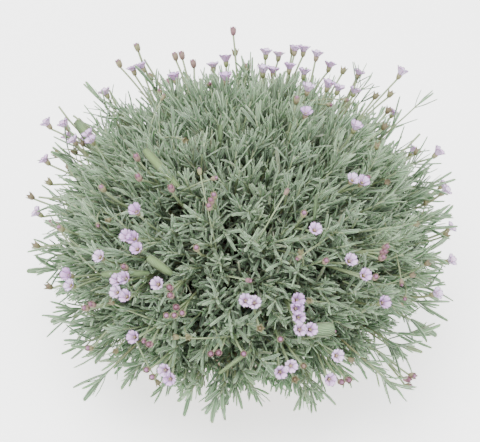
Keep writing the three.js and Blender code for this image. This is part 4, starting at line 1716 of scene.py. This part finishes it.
def speckle(scale: float, detail: float = 3, place: object = Given.PLACE) -> Pattern:
    """Returns a noise of a scale and a detail, on the place in the object or on another one."""
    inputs = (("Vector", place), ("Scale", scale), ("Detail", detail), ("Roughness", 0.55))
    return Pattern("ShaderNodeTexNoise", inputs, "Fac")


def maths(kind: str, first: object, second: object = 0.0) -> Pattern:
    """Returns the arithmetic of a kind on one value or two."""
    return Pattern("ShaderNodeMath", ((0, first), (1, second)), 0, (("operation", kind),))


def times(first: object, second: object) -> Pattern:
    """Returns the product of two values."""
    return maths("MULTIPLY", first, second)


def grain(across: float, along: float, scale: float) -> Pattern:
    """Returns a noise drawn out across and along a shape, apart for each tint."""
    parts = (times(Given.ACROSS, across), times(Given.ALONG, along), times(Given.TINT, 37.0))
    return speckle(scale, 3, Pattern("ShaderNodeCombineXYZ", tuple(enumerate(parts))))


def cells(scale: float) -> Pattern:
    """Returns rounded cells on the place in the object, dark in their middles."""
    inputs = (("Vector", Given.PLACE), ("Scale", scale))
    return Pattern("ShaderNodeTexVoronoi", inputs, "Distance")


def span(*values: object) -> Pattern:
    """Returns a value stretched from low and high to two other values, and held at its ends."""
    return Pattern("ShaderNodeMapRange", tuple(enumerate(values)))


def ramp(value: object, *stops: tuple[float, int, int, int]) -> Pattern:
    """Returns the colour that a value has between stops, each a place and a screen colour."""
    return Pattern("ShaderNodeValToRGB", ((0, value),), stops=stops)


@dataclass(frozen=True)
class Coat:
    """A colour laid over a finish.

    Attributes:
        share: How much of it there is at each place.
    """

    what: str
    share: object
    colour: object
    blend: str = "MIX"


@dataclass(frozen=True)
class Finish:
    """The finish of a piece.

    Attributes:
        relief: The height of its relief, from 0 to 1.
        depth: The depth of that relief, in metres.
        surface: What else the surface is set to, by name.
    """

    name: str
    ground: Pattern
    coats: tuple[Coat, ...]
    roughness: object
    relief: Pattern
    depth: float
    surface: tuple[tuple[str, object], ...] = ()

    @cache
    def material(self) -> Material:
        """Builds the material, once.

        Returns:
            The material.
        """
        shader = Shader(self.name)
        colour = self.ground
        for coat in self.coats:
            layers = {0: coat.share, 6: colour, 7: coat.colour}
            blend = {"data_type": "RGBA", "blend_type": coat.blend, "label": coat.what}
            colour = shader.node("ShaderNodeMix", layers, **blend).outputs[2]
        relief = {"Height": self.relief, "Strength": 0.8, "Distance": self.depth}
        bump = shader.node("ShaderNodeBump", relief).outputs[0]
        looks = (("Base Color", colour), ("Roughness", self.roughness), ("Normal", bump))
        for name, value in looks + self.surface:
            shader.feed(shader.surface.inputs[name], value)
        return shader.material


FOLD = maths("PINGPONG", Given.ACROSS, 0.5)
RIMMED = maths("GREATER_THAN", Given.ALONG, 0.5 * (1 + RIMMED_FROM))
SLIM = maths("SUBTRACT", 1.0, RIMMED)
LEAF_GRAIN = grain(26, 3, 3.0)
# Pale colour of the rimmed leaves' rim and midrib, and of the painted highlight on the slim leaves.
PALE_RIM_AND_HIGHLIGHT = srgb(182, 204, 174)
LEAF = Finish(
    "grey_green_leaf",
    ramp(
        Given.TINT, (0.0, 84, 70, 50), (0.13, 114, 106, 76), (0.2, 46, 68, 45), (0.45, 66, 94, 64),
        (0.7, 96, 126, 92), (1.0, 156, 182, 148),
    ),
    (
        # On the slim leaves a pale band is a painted highlight and a dark band a painted shade,
        # laid across each leaf by its fold.
        Coat("painted highlight on a slim leaf", times(SLIM, span(FOLD, 0.2, 0.5, 0.0, 0.5)), PALE_RIM_AND_HIGHLIGHT),
        Coat("painted shade on a slim leaf", times(SLIM, span(FOLD, 0.0, 0.2, 0.9, 0.0)), srgb(48, 70, 46)),
        Coat("body of a rimmed leaf", times(RIMMED, 0.46), srgb(46, 80, 52)),
        Coat("its rim", times(RIMMED, span(FOLD, 0.42, 0.5, 0.0, 0.55)), PALE_RIM_AND_HIGHLIGHT),
        Coat("its midrib", times(RIMMED, span(FOLD, 0.06, 0.18, 0.78, 0.0)), PALE_RIM_AND_HIGHLIGHT),
        Coat("waxy bloom", span(LEAF_GRAIN, 0.35, 0.7, 0.0, 0.22), srgb(176, 194, 170)),
        Coat("patches", span(speckle(55, 2), 0.35, 0.75, 0.0, 0.18), srgb(146, 158, 108)),
        Coat(
            "dry tip",
            span(maths("SUBTRACT", Given.ALONG, times(RIMMED, RIMMED_FROM)), 0.93, 1.0, 0.0, 0.3),
            srgb(170, 160, 112),
        ),
    ),
    roughness=span(LEAF_GRAIN, 0.3, 0.7, 0.5, 0.68),
    relief=LEAF_GRAIN,
    depth=0.00012,
    surface=(
        ("Sheen Weight", 0.12),
        ("Subsurface Weight", 0.28),
        ("Subsurface Radius", (0.6, 1.0, 0.55)),
        ("Subsurface Scale", 0.0015),
    ),
)

STEM = Finish(
    "leafy_stem",
    ramp(
        Given.TINT, (0.0, 92, 72, 52), (0.3, 112, 108, 74), (0.6, 112, 132, 94),
        (1.0, 148, 168, 132),
    ),
    (Coat("pale bark", span(speckle(900), 0.35, 0.75, 0.0, 0.3), srgb(160, 142, 110)),),
    roughness=0.6,
    relief=speckle(900),
    depth=0.0001,
)

BLADE_RIBS = maths("SINE", times(Given.ACROSS, 56.0))
BLADE = Finish(
    "broad_blade",
    ramp(Given.TINT, (0.0, 92, 124, 84), (1.0, 120, 148, 88)),
    (
        Coat("pale veins", span(BLADE_RIBS, 0.1, 1.0, 0.0, 0.45), srgb(180, 198, 152)),
        Coat("furrows", span(BLADE_RIBS, -1.0, -0.1, 0.5, 0.0), srgb(66, 98, 58)),
        Coat("blotches", span(speckle(180), 0.4, 0.75, 0.0, 0.45), srgb(116, 142, 74)),
        Coat("midrib", span(FOLD, 0.0, 0.1, 0.7, 0.0), srgb(196, 206, 168)),
    ),
    roughness=0.5,
    relief=BLADE_RIBS,
    depth=0.0002,
)

CALYX_RIBS = maths("PINGPONG", times(Given.ACROSS, 5.0), 0.5)
CALYX = Finish(
    "ribbed_calyx",
    ramp(
        Given.TINT, (0.0, 118, 130, 82), (0.4, 130, 122, 92), (0.75, 132, 94, 104),
        (0.8, 116, 118, 78), (1.0, 100, 90, 66),
    ),
    (
        Coat("dark ribs", span(CALYX_RIBS, 0.0, 0.14, 0.55, 0.0), srgb(84, 74, 50)),
        Coat("teeth", span(Given.ALONG, 0.8, 1.0, 0.0, 0.4), srgb(104, 84, 66)),
        Coat("mauve specks", span(speckle(1500, 2), 0.5, 0.7, 0.0, 0.3), srgb(120, 90, 100)),
    ),
    roughness=0.62,
    relief=CALYX_RIBS,
    depth=0.00015,
)

BUD_FOLDS = grain(22, 2, 2.0)
BUD = Finish(
    "rolled_bud",
    ramp(
        Given.TINT, (0.0, 128, 110, 84), (0.02, 158, 114, 152), (0.5, 142, 97, 128),
        (1.0, 120, 80, 98),
    ),
    (
        Coat("pale foot", span(Given.ALONG, 0.1, 0.6, 0.4, 0.0), srgb(176, 162, 156)),
        Coat("dark folds", span(BUD_FOLDS, 0.4, 0.7, 0.0, 0.55), srgb(116, 70, 92)),
    ),
    roughness=0.5,
    relief=BUD_FOLDS,
    depth=0.0002,
)

FROM_MIDDLE = maths("ABSOLUTE", maths("SUBTRACT", Given.ACROSS, 0.5))
BRANCHED = times(maths("ADD", FROM_MIDDLE, times(speckle(700, 2), 0.06)), 62.0)
PETAL_VEINS = span(maths("SINE", BRANCHED), 0.55, 1.0, 0.0, 0.55)
PETAL_FADE = span(Given.ALONG, 0.3, 1.0, 1.0, 0.25)
PETAL_SIDES = span(FROM_MIDDLE, 0.4, 0.49, 0.0, 0.85)
PETAL_BRIM = span(Given.ALONG, 0.88, 0.98, 0.0, 0.85)
PETAL = Finish(
    "lilac_petal",
    ramp(Given.TINT, (0.0, 228, 208, 236), (1.0, 208, 172, 220)),
    (
        Coat("branching veins", times(PETAL_VEINS, PETAL_FADE), srgb(186, 140, 206)),
        Coat("ring round the eye", span(Given.ALONG, 0.2, 0.4, 0.6, 0.0), srgb(160, 122, 172)),
        Coat("olive throat", span(Given.ALONG, 0.1, 0.26, 1.0, 0.0), srgb(168, 158, 92)),
        Coat("dark outline", maths("MAXIMUM", PETAL_SIDES, PETAL_BRIM), srgb(126, 90, 150)),
    ),
    roughness=0.55,
    relief=PETAL_VEINS,
    depth=0.00008,
    surface=(("Subsurface Weight", 0.08), ("Subsurface Scale", 0.001), ("Sheen Weight", 0.1)),
)

HEART = Finish(
    "eye_and_stamens",
    ramp(
        Given.ALONG, (0.0, 120, 112, 62), (0.25, 156, 150, 84), (0.45, 236, 228, 240),
        (0.7, 232, 222, 238), (1.0, 158, 108, 158),
    ),
    (Coat("pollen", span(speckle(2500, 2), 0.45, 0.7, 0.0, 0.3), srgb(220, 206, 140)),),
    roughness=0.6,
    relief=speckle(2500, 2),
    depth=0.0001,
)

CLAY_CLOUD = speckle(26, 4)
CLAY_PORES = speckle(900, 4)
THROWING_RINGS = maths("SINE", times(Given.HEIGHT, 2600.0))
SALTS = times(span(Given.HEIGHT, 0.004, 0.036, 1.0, 0.0), speckle(60, 5))
CLAY = Finish(
    "unglazed_clay",
    ramp(CLAY_CLOUD, (0.3, 124, 98, 82), (0.5, 142, 114, 96), (0.72, 160, 132, 112)),
    (
        Coat("salts on the lower wall", span(SALTS, 0.3, 0.62, 0.0, 0.55), srgb(214, 196, 178)),
        Coat("pores", span(CLAY_PORES, 0.58, 0.72, 0.0, 0.5), srgb(102, 72, 58)),
        Coat("worn rim", span(Given.HEIGHT, 0.0495, 0.0518, 0.0, 0.3), srgb(206, 150, 120)),
    ),
    roughness=span(CLAY_CLOUD, 0.3, 0.7, 0.78, 0.92),
    relief=maths("ADD", times(THROWING_RINGS, 0.18), CLAY_PORES),
    depth=0.0004,
)

SOIL = Finish(
    "gritty_soil",
    ramp(
        speckle(320, 4), (0.3, 38, 28, 20), (0.52, 70, 53, 38), (0.66, 112, 92, 70),
        (0.8, 168, 156, 138),
    ),
    (
        Coat(
            "dark and pale grains",
            0.5,
            ramp(Given.TINT, (0.0, 120, 110, 98), (1.0, 232, 224, 208)),
            "MULTIPLY",
        ),
    ),
    roughness=0.95,
    relief=maths("ADD", speckle(320, 4), speckle(1400)),
    depth=0.0008,
)

CRACKS = span(cells(260.0), 0.0, 0.5, 0.0, 1.0)
BARK = Finish(
    "cracked_bark",
    ramp(speckle(140, 5), (0.3, 70, 54, 40), (0.55, 112, 92, 70), (0.75, 150, 134, 110)),
    (Coat("pale ridges", times(CRACKS, 0.5), srgb(160, 146, 124)),),
    roughness=0.9,
    relief=maths("ADD", speckle(140, 5), CRACKS),
    depth=0.0012,
)

FLOOR = Finish(
    "pale_floor",
    ramp(speckle(3, 2), (0.2, 250, 250, 250), (0.8, 254, 254, 254)),
    (),
    roughness=0.9,
    relief=speckle(3, 2),
    depth=0.0,
    surface=(("Emission Color", srgb(255, 255, 255)), ("Emission Strength", 1.4)),
)


# ---- pieces

STEM_SIDES = 5
SLIM_STATIONS = ((0.0, 0.62), (0.45, 1.0), (0.95, 0.74))
BLADE_STATIONS = ((0.0, 0.5), (0.2, 0.85), (0.5, 1.0), (0.82, 0.96), (0.975, 0.72))
# Half width, curl and sway of the narrow leaves, and of the broad and the wide ones.
SLIM_LEAVES = (
    (0.041, 0.02, 0.01), (0.038, 0.08, -0.03), (0.045, -0.06, 0.04), (0.041, 0.16, -0.05),
)
RIMMED_LEAVES = (
    (0.056, 0.05, 0.03), (0.062, -0.08, -0.04), (0.052, 0.18, 0.0), (0.059, -0.2, 0.06),
    (0.08, 0.05, 0.03), (0.09, -0.1, -0.05), (0.076, 0.14, 0.0), (0.085, -0.2, 0.06),
)
# Half width, curl, sway and plumpness of the broad blades.
BLADES = (
    (0.056, -0.03, 0.02, 0.1), (0.076, -0.05, -0.02, 0.1),
    (0.16, -0.05, 0.0, 0.08), (0.27, -0.05, 0.0, 0.08),
)
# Length, radius, tooth and flare of the calyces, in the order of their kinds.
CALYCES = ((3.2, 1.65, 1.4, -0.1), (2.9, 1.55, 0.75, 0.15), (3.0, 1.75, 1.6, 0.4))
STOCK: dict[str, list[Surface]] = {
    "leaf": [LeafShape(*form, stations=SLIM_STATIONS) for form in SLIM_LEAVES]
    + [LeafShape(*form, rimmed=True) for form in RIMMED_LEAVES],
    "blade": [LeafShape(*form, BLADE_STATIONS) for form in BLADES],
    "calyx": [CalyxShape(*form) for form in CALYCES],
    "bud": [BudShape(2.6, 1.2)],
    "corolla": [CorollaShape(depth=2.3 + 0.4 * number, seed=number) for number in range(4)],
    "heart": [HeartShape(seed=number) for number in range(3)],
    "grit": [GritShape(number) for number in range(4)],
}


class Workshop:
    """Makes meshes of stems and of set shapes, with the two trees and the stock of shapes."""

    def __init__(self) -> None:
        """Builds the trees and the shapes."""
        self.drawer = stem_tree()
        self.setter = scatter_tree()
        self.stock = {name: bpy.data.collections.new(name) for name in STOCK}
        for name, shapes in STOCK.items():
            for number, shape in enumerate(shapes):
                self.stock[name].objects.link(shape.build(f"{name}_{number}"))

    def clear(self) -> None:
        """Removes the shapes and the trees once all pieces are made."""
        for box in self.stock.values():
            for shape in list(box.objects):
                discard(shape)
            bpy.data.collections.remove(box)
        for tree in (self.drawer, self.setter):
            bpy.data.node_groups.remove(tree)

    @staticmethod
    def made(mesh: Mesh, tree: NodeTree, **inputs: object) -> Mesh:
        """Runs a tree on a mesh.

        Args:
            mesh: The mesh.
            tree: The tree.
            inputs: The values of its named inputs.

        Returns:
            The plain mesh that it makes.
        """
        holder = linked("on_the_way", mesh)
        modifier = holder.modifiers.new("tree", "NODES")
        modifier.node_group = tree
        for item in tree.interface.items_tree:
            if item.in_out == "INPUT" and item.name in inputs:
                modifier[item.identifier] = inputs[item.name]
        result = plain_mesh(holder)
        discard(holder)
        return result

    def stems(self, stems: Sequence[Stem], finish: Finish) -> Mesh:
        """Makes the stems.

        Args:
            stems: The stems.
            finish: Their finish.

        Returns:
            Their mesh.
        """
        points, edges = [], []
        for stem in stems:
            edges += [(len(points) + k, len(points) + k + 1) for k in range(len(stem.points) - 1)]
            points += [point * MM for point in stem.points]
        mesh = bpy.data.meshes.new("lines")
        mesh.from_pydata(points, edges, [])
        carry(mesh, "half", "FLOAT", [half * MM for stem in stems for half in stem.halves])
        carry(mesh, "tint", "FLOAT", [tint for stem in stems for tint in stem.tints])
        return self.made(mesh, self.drawer, Sides=STEM_SIDES, Finish=finish.material())

    def spots(self, spots: Sequence[Spot], shapes: str, finish: Finish) -> Mesh:
        """Makes the shapes that are set on spots.

        Args:
            spots: The spots.
            shapes: The name of the shapes in the stock.
            finish: Their finish.

        Returns:
            Their mesh.
        """
        mesh = bpy.data.meshes.new("spots")
        mesh.from_pydata([spot.place * MM for spot in spots], [], [])
        carry(mesh, "turn", "FLOAT_VECTOR", [angle for spot in spots for angle in spot.turn()])
        carry(mesh, "size", "FLOAT", [spot.size for spot in spots])
        carry(mesh, "shape", "INT", [spot.shape for spot in spots])
        carry(mesh, "tint", "FLOAT", [spot.tint for spot in spots])
        box, material = self.stock[shapes], finish.material()
        return self.made(mesh, self.setter, Shapes=box, Scale=MM, Finish=material)

    def piece(self, name: str, growth: Growth) -> Object:
        """Makes one piece of all that a growth holds.

        Args:
            name: The piece's name.
            growth: The growth.

        Returns:
            The piece.
        """
        parts = []
        if growth.stems:
            parts.append((self.stems(growth.stems, STEM), STEM.material()))
        kinds = (
            (growth.leaves, "leaf", LEAF),
            (growth.blades, "blade", BLADE),
            (growth.calyces, "calyx", CALYX),
            (growth.buds, "bud", BUD),
            (growth.corollas, "corolla", PETAL),
            (growth.hearts, "heart", HEART),
        )
        for spots, shapes, finish in kinds:
            if spots:
                parts.append((self.spots(spots, shapes, finish), finish.material()))
        return joined(name, parts)


def settle(piece: Object, slot: str, *nodes: str) -> None:
    """Sets a piece on the body in place of its nodes.

    Args:
        piece: The piece.
        slot: Not used.
        nodes: The nodes that it takes the place of.
    """
    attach(piece, BODY)
    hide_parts(*nodes)
    LOG.info("%s: %d triangles", piece.name, len(piece.data.loops) - 2 * len(piece.data.polygons))


def turned_mesh(name: str, profile: Pairs, sides: int) -> Mesh:
    """Turns a closed outline round the upright axis.

    Args:
        name: The mesh's name.
        profile: Its radii and heights, in mm.
        sides: Count of the sides.

    Returns:
        The mesh.
    """
    points, rings, faces = [], [], []
    for radius, height in profile:
        count = sides if radius else 1
        first = len(points)
        points += [around(radius, side / sides * TURN, height) * MM for side in range(count)]
        rings.append([first + side % count for side in range(sides)])
    for low, high in zip(rings, rings[1:]):
        for side in range(sides):
            after = (side + 1) % sides
            corners = (low[side], low[after], high[after], high[side])
            faces.append(tuple(dict.fromkeys(corners)))
    mesh = bpy.data.meshes.new(name)
    mesh.from_pydata(points, [], faces, shade_flat=False)
    return mesh


def widened(vertex: bpy.types.MeshVertex, by: float) -> None:
    """Moves a vertex away from the upright axis by a distance in metres."""
    share = 1 + by / math.hypot(vertex.co.x, vertex.co.y)
    vertex.co = (vertex.co.x * share, vertex.co.y * share, vertex.co.z)


def rounded(profile: Sequence[Triple], steps: int = 4) -> list[Pair]:
    """Rounds the corners of an outline.

    Args:
        profile: Radius, height and rounding of each corner, in mm.
        steps: Count of the pieces of each rounding.

    Returns:
        The outline's radii and heights.
    """
    corners = [Vector((radius, 0, height)) for radius, height, _ in profile]
    found: list[Pair] = []
    for number, (radius, height, fillet) in enumerate(profile):
        if not fillet:
            found.append((radius, height))
            continue
        here = corners[number]
        start = here + (corners[number - 1] - here).normalized() * fillet
        end = here + (corners[number + 1] - here).normalized() * fillet
        found += [(point.x, point.z) for point in arc(start, here, end, steps)]
    return found


@dataclass(frozen=True)
class ClayPan:
    """The unglazed pan with its rim band and drain holes, all in mm.

    Attributes:
        band: Radius of the rim band.
        hole_ring: Distance of their middles from the pan's middle.
        unevenness: How far the wall wanders.
        even_to: Radius up to which it doesn't.
        crease: The sharpest angle that looks smooth, in degrees.
    """

    height: float = 52
    wall: float = 4.5
    foot: float = 40
    mouth: float = 54.5
    floor: float = 6
    band: float = 57
    band_foot: float = 40
    sides: int = 96
    holes: int = 4
    hole_radius: float = 4
    hole_ring: float = 21
    unevenness: float = 0.25
    even_to: float = 34
    crease: float = 40

    def inside(self, height: float) -> float:
        """Returns the radius of the inner wall at a height."""
        return between(self.foot, self.mouth, height / self.height) - self.wall

    def build(self) -> Object:
        """Turns the pan and cuts its holes.

        Returns:
            The pan.
        """
        outline = rounded(
            [
                (0, 0.6, 0),
                (30, 0.6, 2),
                (33, 0, 1),
                (self.foot, 0, 1.6),
                (self.inside(self.band_foot) + self.wall, self.band_foot, 0.8),
                (self.band - 1.4, self.band_foot + 0.1, 1.2),
                (self.band, self.height - 6, 3),
                (self.band - 0.2, self.height, 1.7),
                (self.inside(self.height), self.height, 1.5),
                (self.inside(26), 26, 3),
                (self.inside(self.floor), self.floor, 3),
                (0, self.floor, 0),
            ]
        )
        whole = turned_mesh("turned_pan", outline, self.sides)
        pan = linked("clay_pan", whole)
        for vertex in pan.data.vertices:
            if math.hypot(vertex.co.x, vertex.co.y) > self.even_to * MM:
                widened(vertex, noise.noise(vertex.co * 22) * self.unevenness * MM)
        drills = self.drills()
        cut = pan.modifiers.new("holes", "BOOLEAN")
        cut.operation = "DIFFERENCE"
        cut.object = drills
        cut.solver = "EXACT"
        mesh = plain_mesh(pan)
        pan.modifiers.clear()
        pan.data = mesh
        bpy.data.meshes.remove(whole)
        discard(drills)
        mesh.name = "clay_pan"
        mesh.set_sharp_from_angle(angle=math.radians(self.crease))
        return pan

    def drills(self) -> Object:
        """Makes the cylinders that cut the holes.

        Returns:
            The cylinders, as one object.
        """
        drill = bmesh.new()
        radius = self.hole_radius * MM
        for number in range(self.holes):
            middle = around(1, (number + 0.5) / self.holes * TURN) * (self.hole_ring * MM)
            bmesh.ops.create_cone(
                drill,
                cap_ends=True,
                segments=24,
                radius1=radius,
                radius2=radius,
                depth=0.03,
                matrix=Matrix.Translation(middle),
            )
        mesh = bpy.data.meshes.new("drills")
        drill.to_mesh(mesh)
        drill.free()
        return linked("drills", mesh)

    def dress(self) -> None:
        """Builds the pan and gives it its finish."""
        pan = self.build()
        pan.data.materials.clear()
        pan.data.materials.append(CLAY.material())
        settle(pan, "clay", "pot")


@dataclass(frozen=True)
class PottingSoil:
    """The soil in the pan, uneven on top, with loose grains on it, in mm.

    Attributes:
        gap: Room between the soil and the pan.
        grain_reach: How far from the middle they lie.
    """

    pan: ClayPan
    gap: float = 0.4
    sides: int = 64
    level: float = 48
    rings: int = 23
    ring_width: float = 2.0
    grains: int = 700
    grain_reach: float = 47

    def height(self, place: Vector) -> float:
        """Returns how far the top lies over its level at a place."""
        fade = held((50.5 - math.hypot(place.x, place.y)) / 4)
        return fade * 1.6 * noise.noise(place * 0.11) + fade * 0.5 * noise.noise(place * 0.4)

    def build(self) -> Mesh:
        """Makes the soil without its grains.

        Returns:
            Its mesh.
        """
        bottom = self.pan.floor + self.gap
        edge = self.pan.inside(self.level) - self.gap
        outline = [(0, bottom), (self.pan.inside(self.pan.floor) - self.gap, bottom)]
        outline.append((edge, self.level - 1.0))
        outline += [(edge - self.ring_width * (k + 1), self.level) for k in range(self.rings)]
        outline.append((0, self.level))
        mesh = turned_mesh("potting_soil", outline, self.sides)
        for vertex in mesh.vertices:
            place = vertex.co / MM
            if place.z > self.level - 0.5:
                vertex.co.z += self.height(Vector((place.x, place.y, 0))) * MM
        return mesh

    def dress(self, workshop: Workshop) -> None:
        """Builds the soil and its grains as one piece.

        Args:
            workshop: What sets the grains.
        """
        grains = []
        for number in range(self.grains):
            reach = self.grain_reach * math.sqrt((number + 0.5) / self.grains)
            flat = around(reach, number * GOLDEN_ANGLE)
            size = between(0.8, 2.8, chance(number, 60) ** 2)
            place = flat + UP * (self.level + self.height(flat) + 0.15 * size)
            way = loose(number, 65).normalized()
            grains.append(Spot(place, way, UP, size, number % 4, chance(number, 69)))
        parts = (self.build(), workshop.spots(grains, "grit", SOIL))
        settle(joined("potting_soil", [(part, SOIL.material()) for part in parts]), "soil", "soil")


@dataclass(frozen=True)
class WoodyCrown:
    """The woody crown with its tap root, in mm.

    Attributes:
        corners: Radius and height of its corners, from the root's tip up.
        smooth_to: Radius up to which it isn't.
        rough_from: Radius from which it is furrowed to the full.
    """

    corners: Pairs = ((1.5, 12), (5.5, 42), (8, 48), (13, 52), (15, 58), (12, 66), (6, 71))
    steps: int = 5
    sides: int = 40
    ridges: float = 1.0
    smooth_to: float = 1.0
    rough_from: float = 8.0

    def dress(self) -> None:
        """Builds the crown with furrows that run along it."""
        outline = [(0.0, self.corners[0][1])]
        for (low, bottom), (high, top) in zip(self.corners, self.corners[1:]):
            shares = [step / self.steps for step in range(self.steps)]
            outline += [(between(low, high, k), between(bottom, top, k)) for k in shares]
        outline += [self.corners[-1], (0, 72)]
        mesh = turned_mesh("woody_crown", outline, self.sides)
        for vertex in mesh.vertices:
            reach = math.hypot(vertex.co.x, vertex.co.y)
            if reach > self.smooth_to * MM:
                stretch = 2.4 / reach
                place = Vector((vertex.co.x * stretch, vertex.co.y * stretch, vertex.co.z * 30))
                depth = self.ridges * MM * min(reach / (self.rough_from * MM), 1)
                widened(vertex, (noise.noise(place * 1.6) - 0.25) * depth)
        settle(joined("woody_crown", [(mesh, BARK.material())]), "bark", "crown")


@dataclass(frozen=True)
class Foliage:
    """The leafy sprigs and the flower heads."""

    plant: Plant

    def dress(self, workshop: Workshop) -> None:
        """Makes a piece of each sprig and of each flower head.

        Args:
            workshop: What makes their stems and sets their shapes.
        """
        for number, growth in enumerate(self.plant.growths, 1):
            piece = workshop.piece(f"foliage_{number:02d}", growth)
            settle(piece, "leaf", f"leafy_sprig_{number:02d}")
        for number, growth in enumerate(self.plant.heads, 1):
            piece = workshop.piece(f"flower_head_{number:02d}", growth)
            settle(piece, "petal", f"bloom_{number:02d}")


@dataclass(frozen=True)
class Studio:
    """The floor, the soft light and the camera.

    Attributes:
        aim: How far right and up of the cushion's middle the camera looks, in mm.
        lights: Name, place, size and power of the lights, in metres and watts.
        floor_drop: How far it lies under the pan, in metres.
    """

    lens: float = 136.36
    film: float = 36
    aim: Pair = (-1.1, 15.95)
    lights: tuple[tuple[str, Sequence[float], float, float], ...] = (
        ("overhead_light", (-0.25, -0.35, 1.5), 1.3, 40),
        ("side_light", (1.3, -0.9, 0.8), 1.0, 10),
        ("back_light", (-0.5, 1.4, 0.9), 1.0, 12),
    )
    glow: float = 1.7
    floor_half: float = 3
    floor_drop: float = 0.0002

    def build(self) -> None:
        """Sets the floor, the lights and the camera."""
        plane = bmesh.new()
        bmesh.ops.create_grid(plane, x_segments=1, y_segments=1, size=self.floor_half)
        mesh = bpy.data.meshes.new("floor")
        plane.to_mesh(mesh)
        plane.free()
        mesh.materials.append(FLOOR.material())
        floor = linked("floor", mesh)
        floor.location.z = -self.floor_drop
        for light in self.lights:
            self.light(*light)
        world = bpy.data.worlds.new("studio")
        world.use_nodes = True
        background = world.node_tree.nodes["Background"]
        background.inputs["Color"].default_value = (1.0, 1.0, 1.0, 1.0)
        background.inputs["Strength"].default_value = self.glow
        bpy.context.scene.world = world
        self.camera()

    @staticmethod
    def stand(name: str, data: bpy.types.ID, place: Vector, way: Vector) -> Object:
        """Stands a light or a camera at a place.

        Args:
            name: Its name.
            data: What it is.
            place: The place.
            way: The way it looks.

        Returns:
            Its object.
        """
        holder = linked(name, data)
        holder.location = place
        holder.rotation_euler = way.to_track_quat("-Z", "Y").to_euler()
        return holder

    def light(self, name: str, place: Sequence[float], size: float, power: float) -> None:
        """Sets one soft light that looks at the plant.

        Args:
            name: Its name.
            place: Its place, in metres.
            size: Its width, in metres.
            power: Its power, in watts.
        """
        lamp = bpy.data.lights.new(name, "AREA")
        lamp.shape, lamp.size, lamp.energy = "DISK", size, power
        spot = Vector(place)
        self.stand(name, lamp, spot, FORM.centre * MM - spot)

    def camera(self) -> None:
        """Sets the camera where the view's eye is."""
        data = bpy.data.cameras.new("camera")
        data.lens, data.sensor_width = self.lens, self.film
        data.clip_start, data.clip_end = 0.05, 20
        eye = FORM.centre + VIEW.to_eye * VIEW.distance
        aim = FORM.centre + VIEW.right * self.aim[0] + VIEW.up * self.aim[1]
        bpy.context.scene.camera = self.stand("camera", data, eye * MM, aim - eye)


def main() -> None:
    """Builds the studio and the pieces."""
    logging.basicConfig(level=logging.INFO, format="%(name)s: %(message)s")
    Studio().build()
    workshop = Workshop()
    pan = ClayPan()
    pan.dress()
    PottingSoil(pan).dress(workshop)
    WoodyCrown().dress()
    plant = Plant()
    plant.grow()
    Foliage(plant).dress(workshop)
    workshop.clear()


if __name__ == "__main__":
    main()
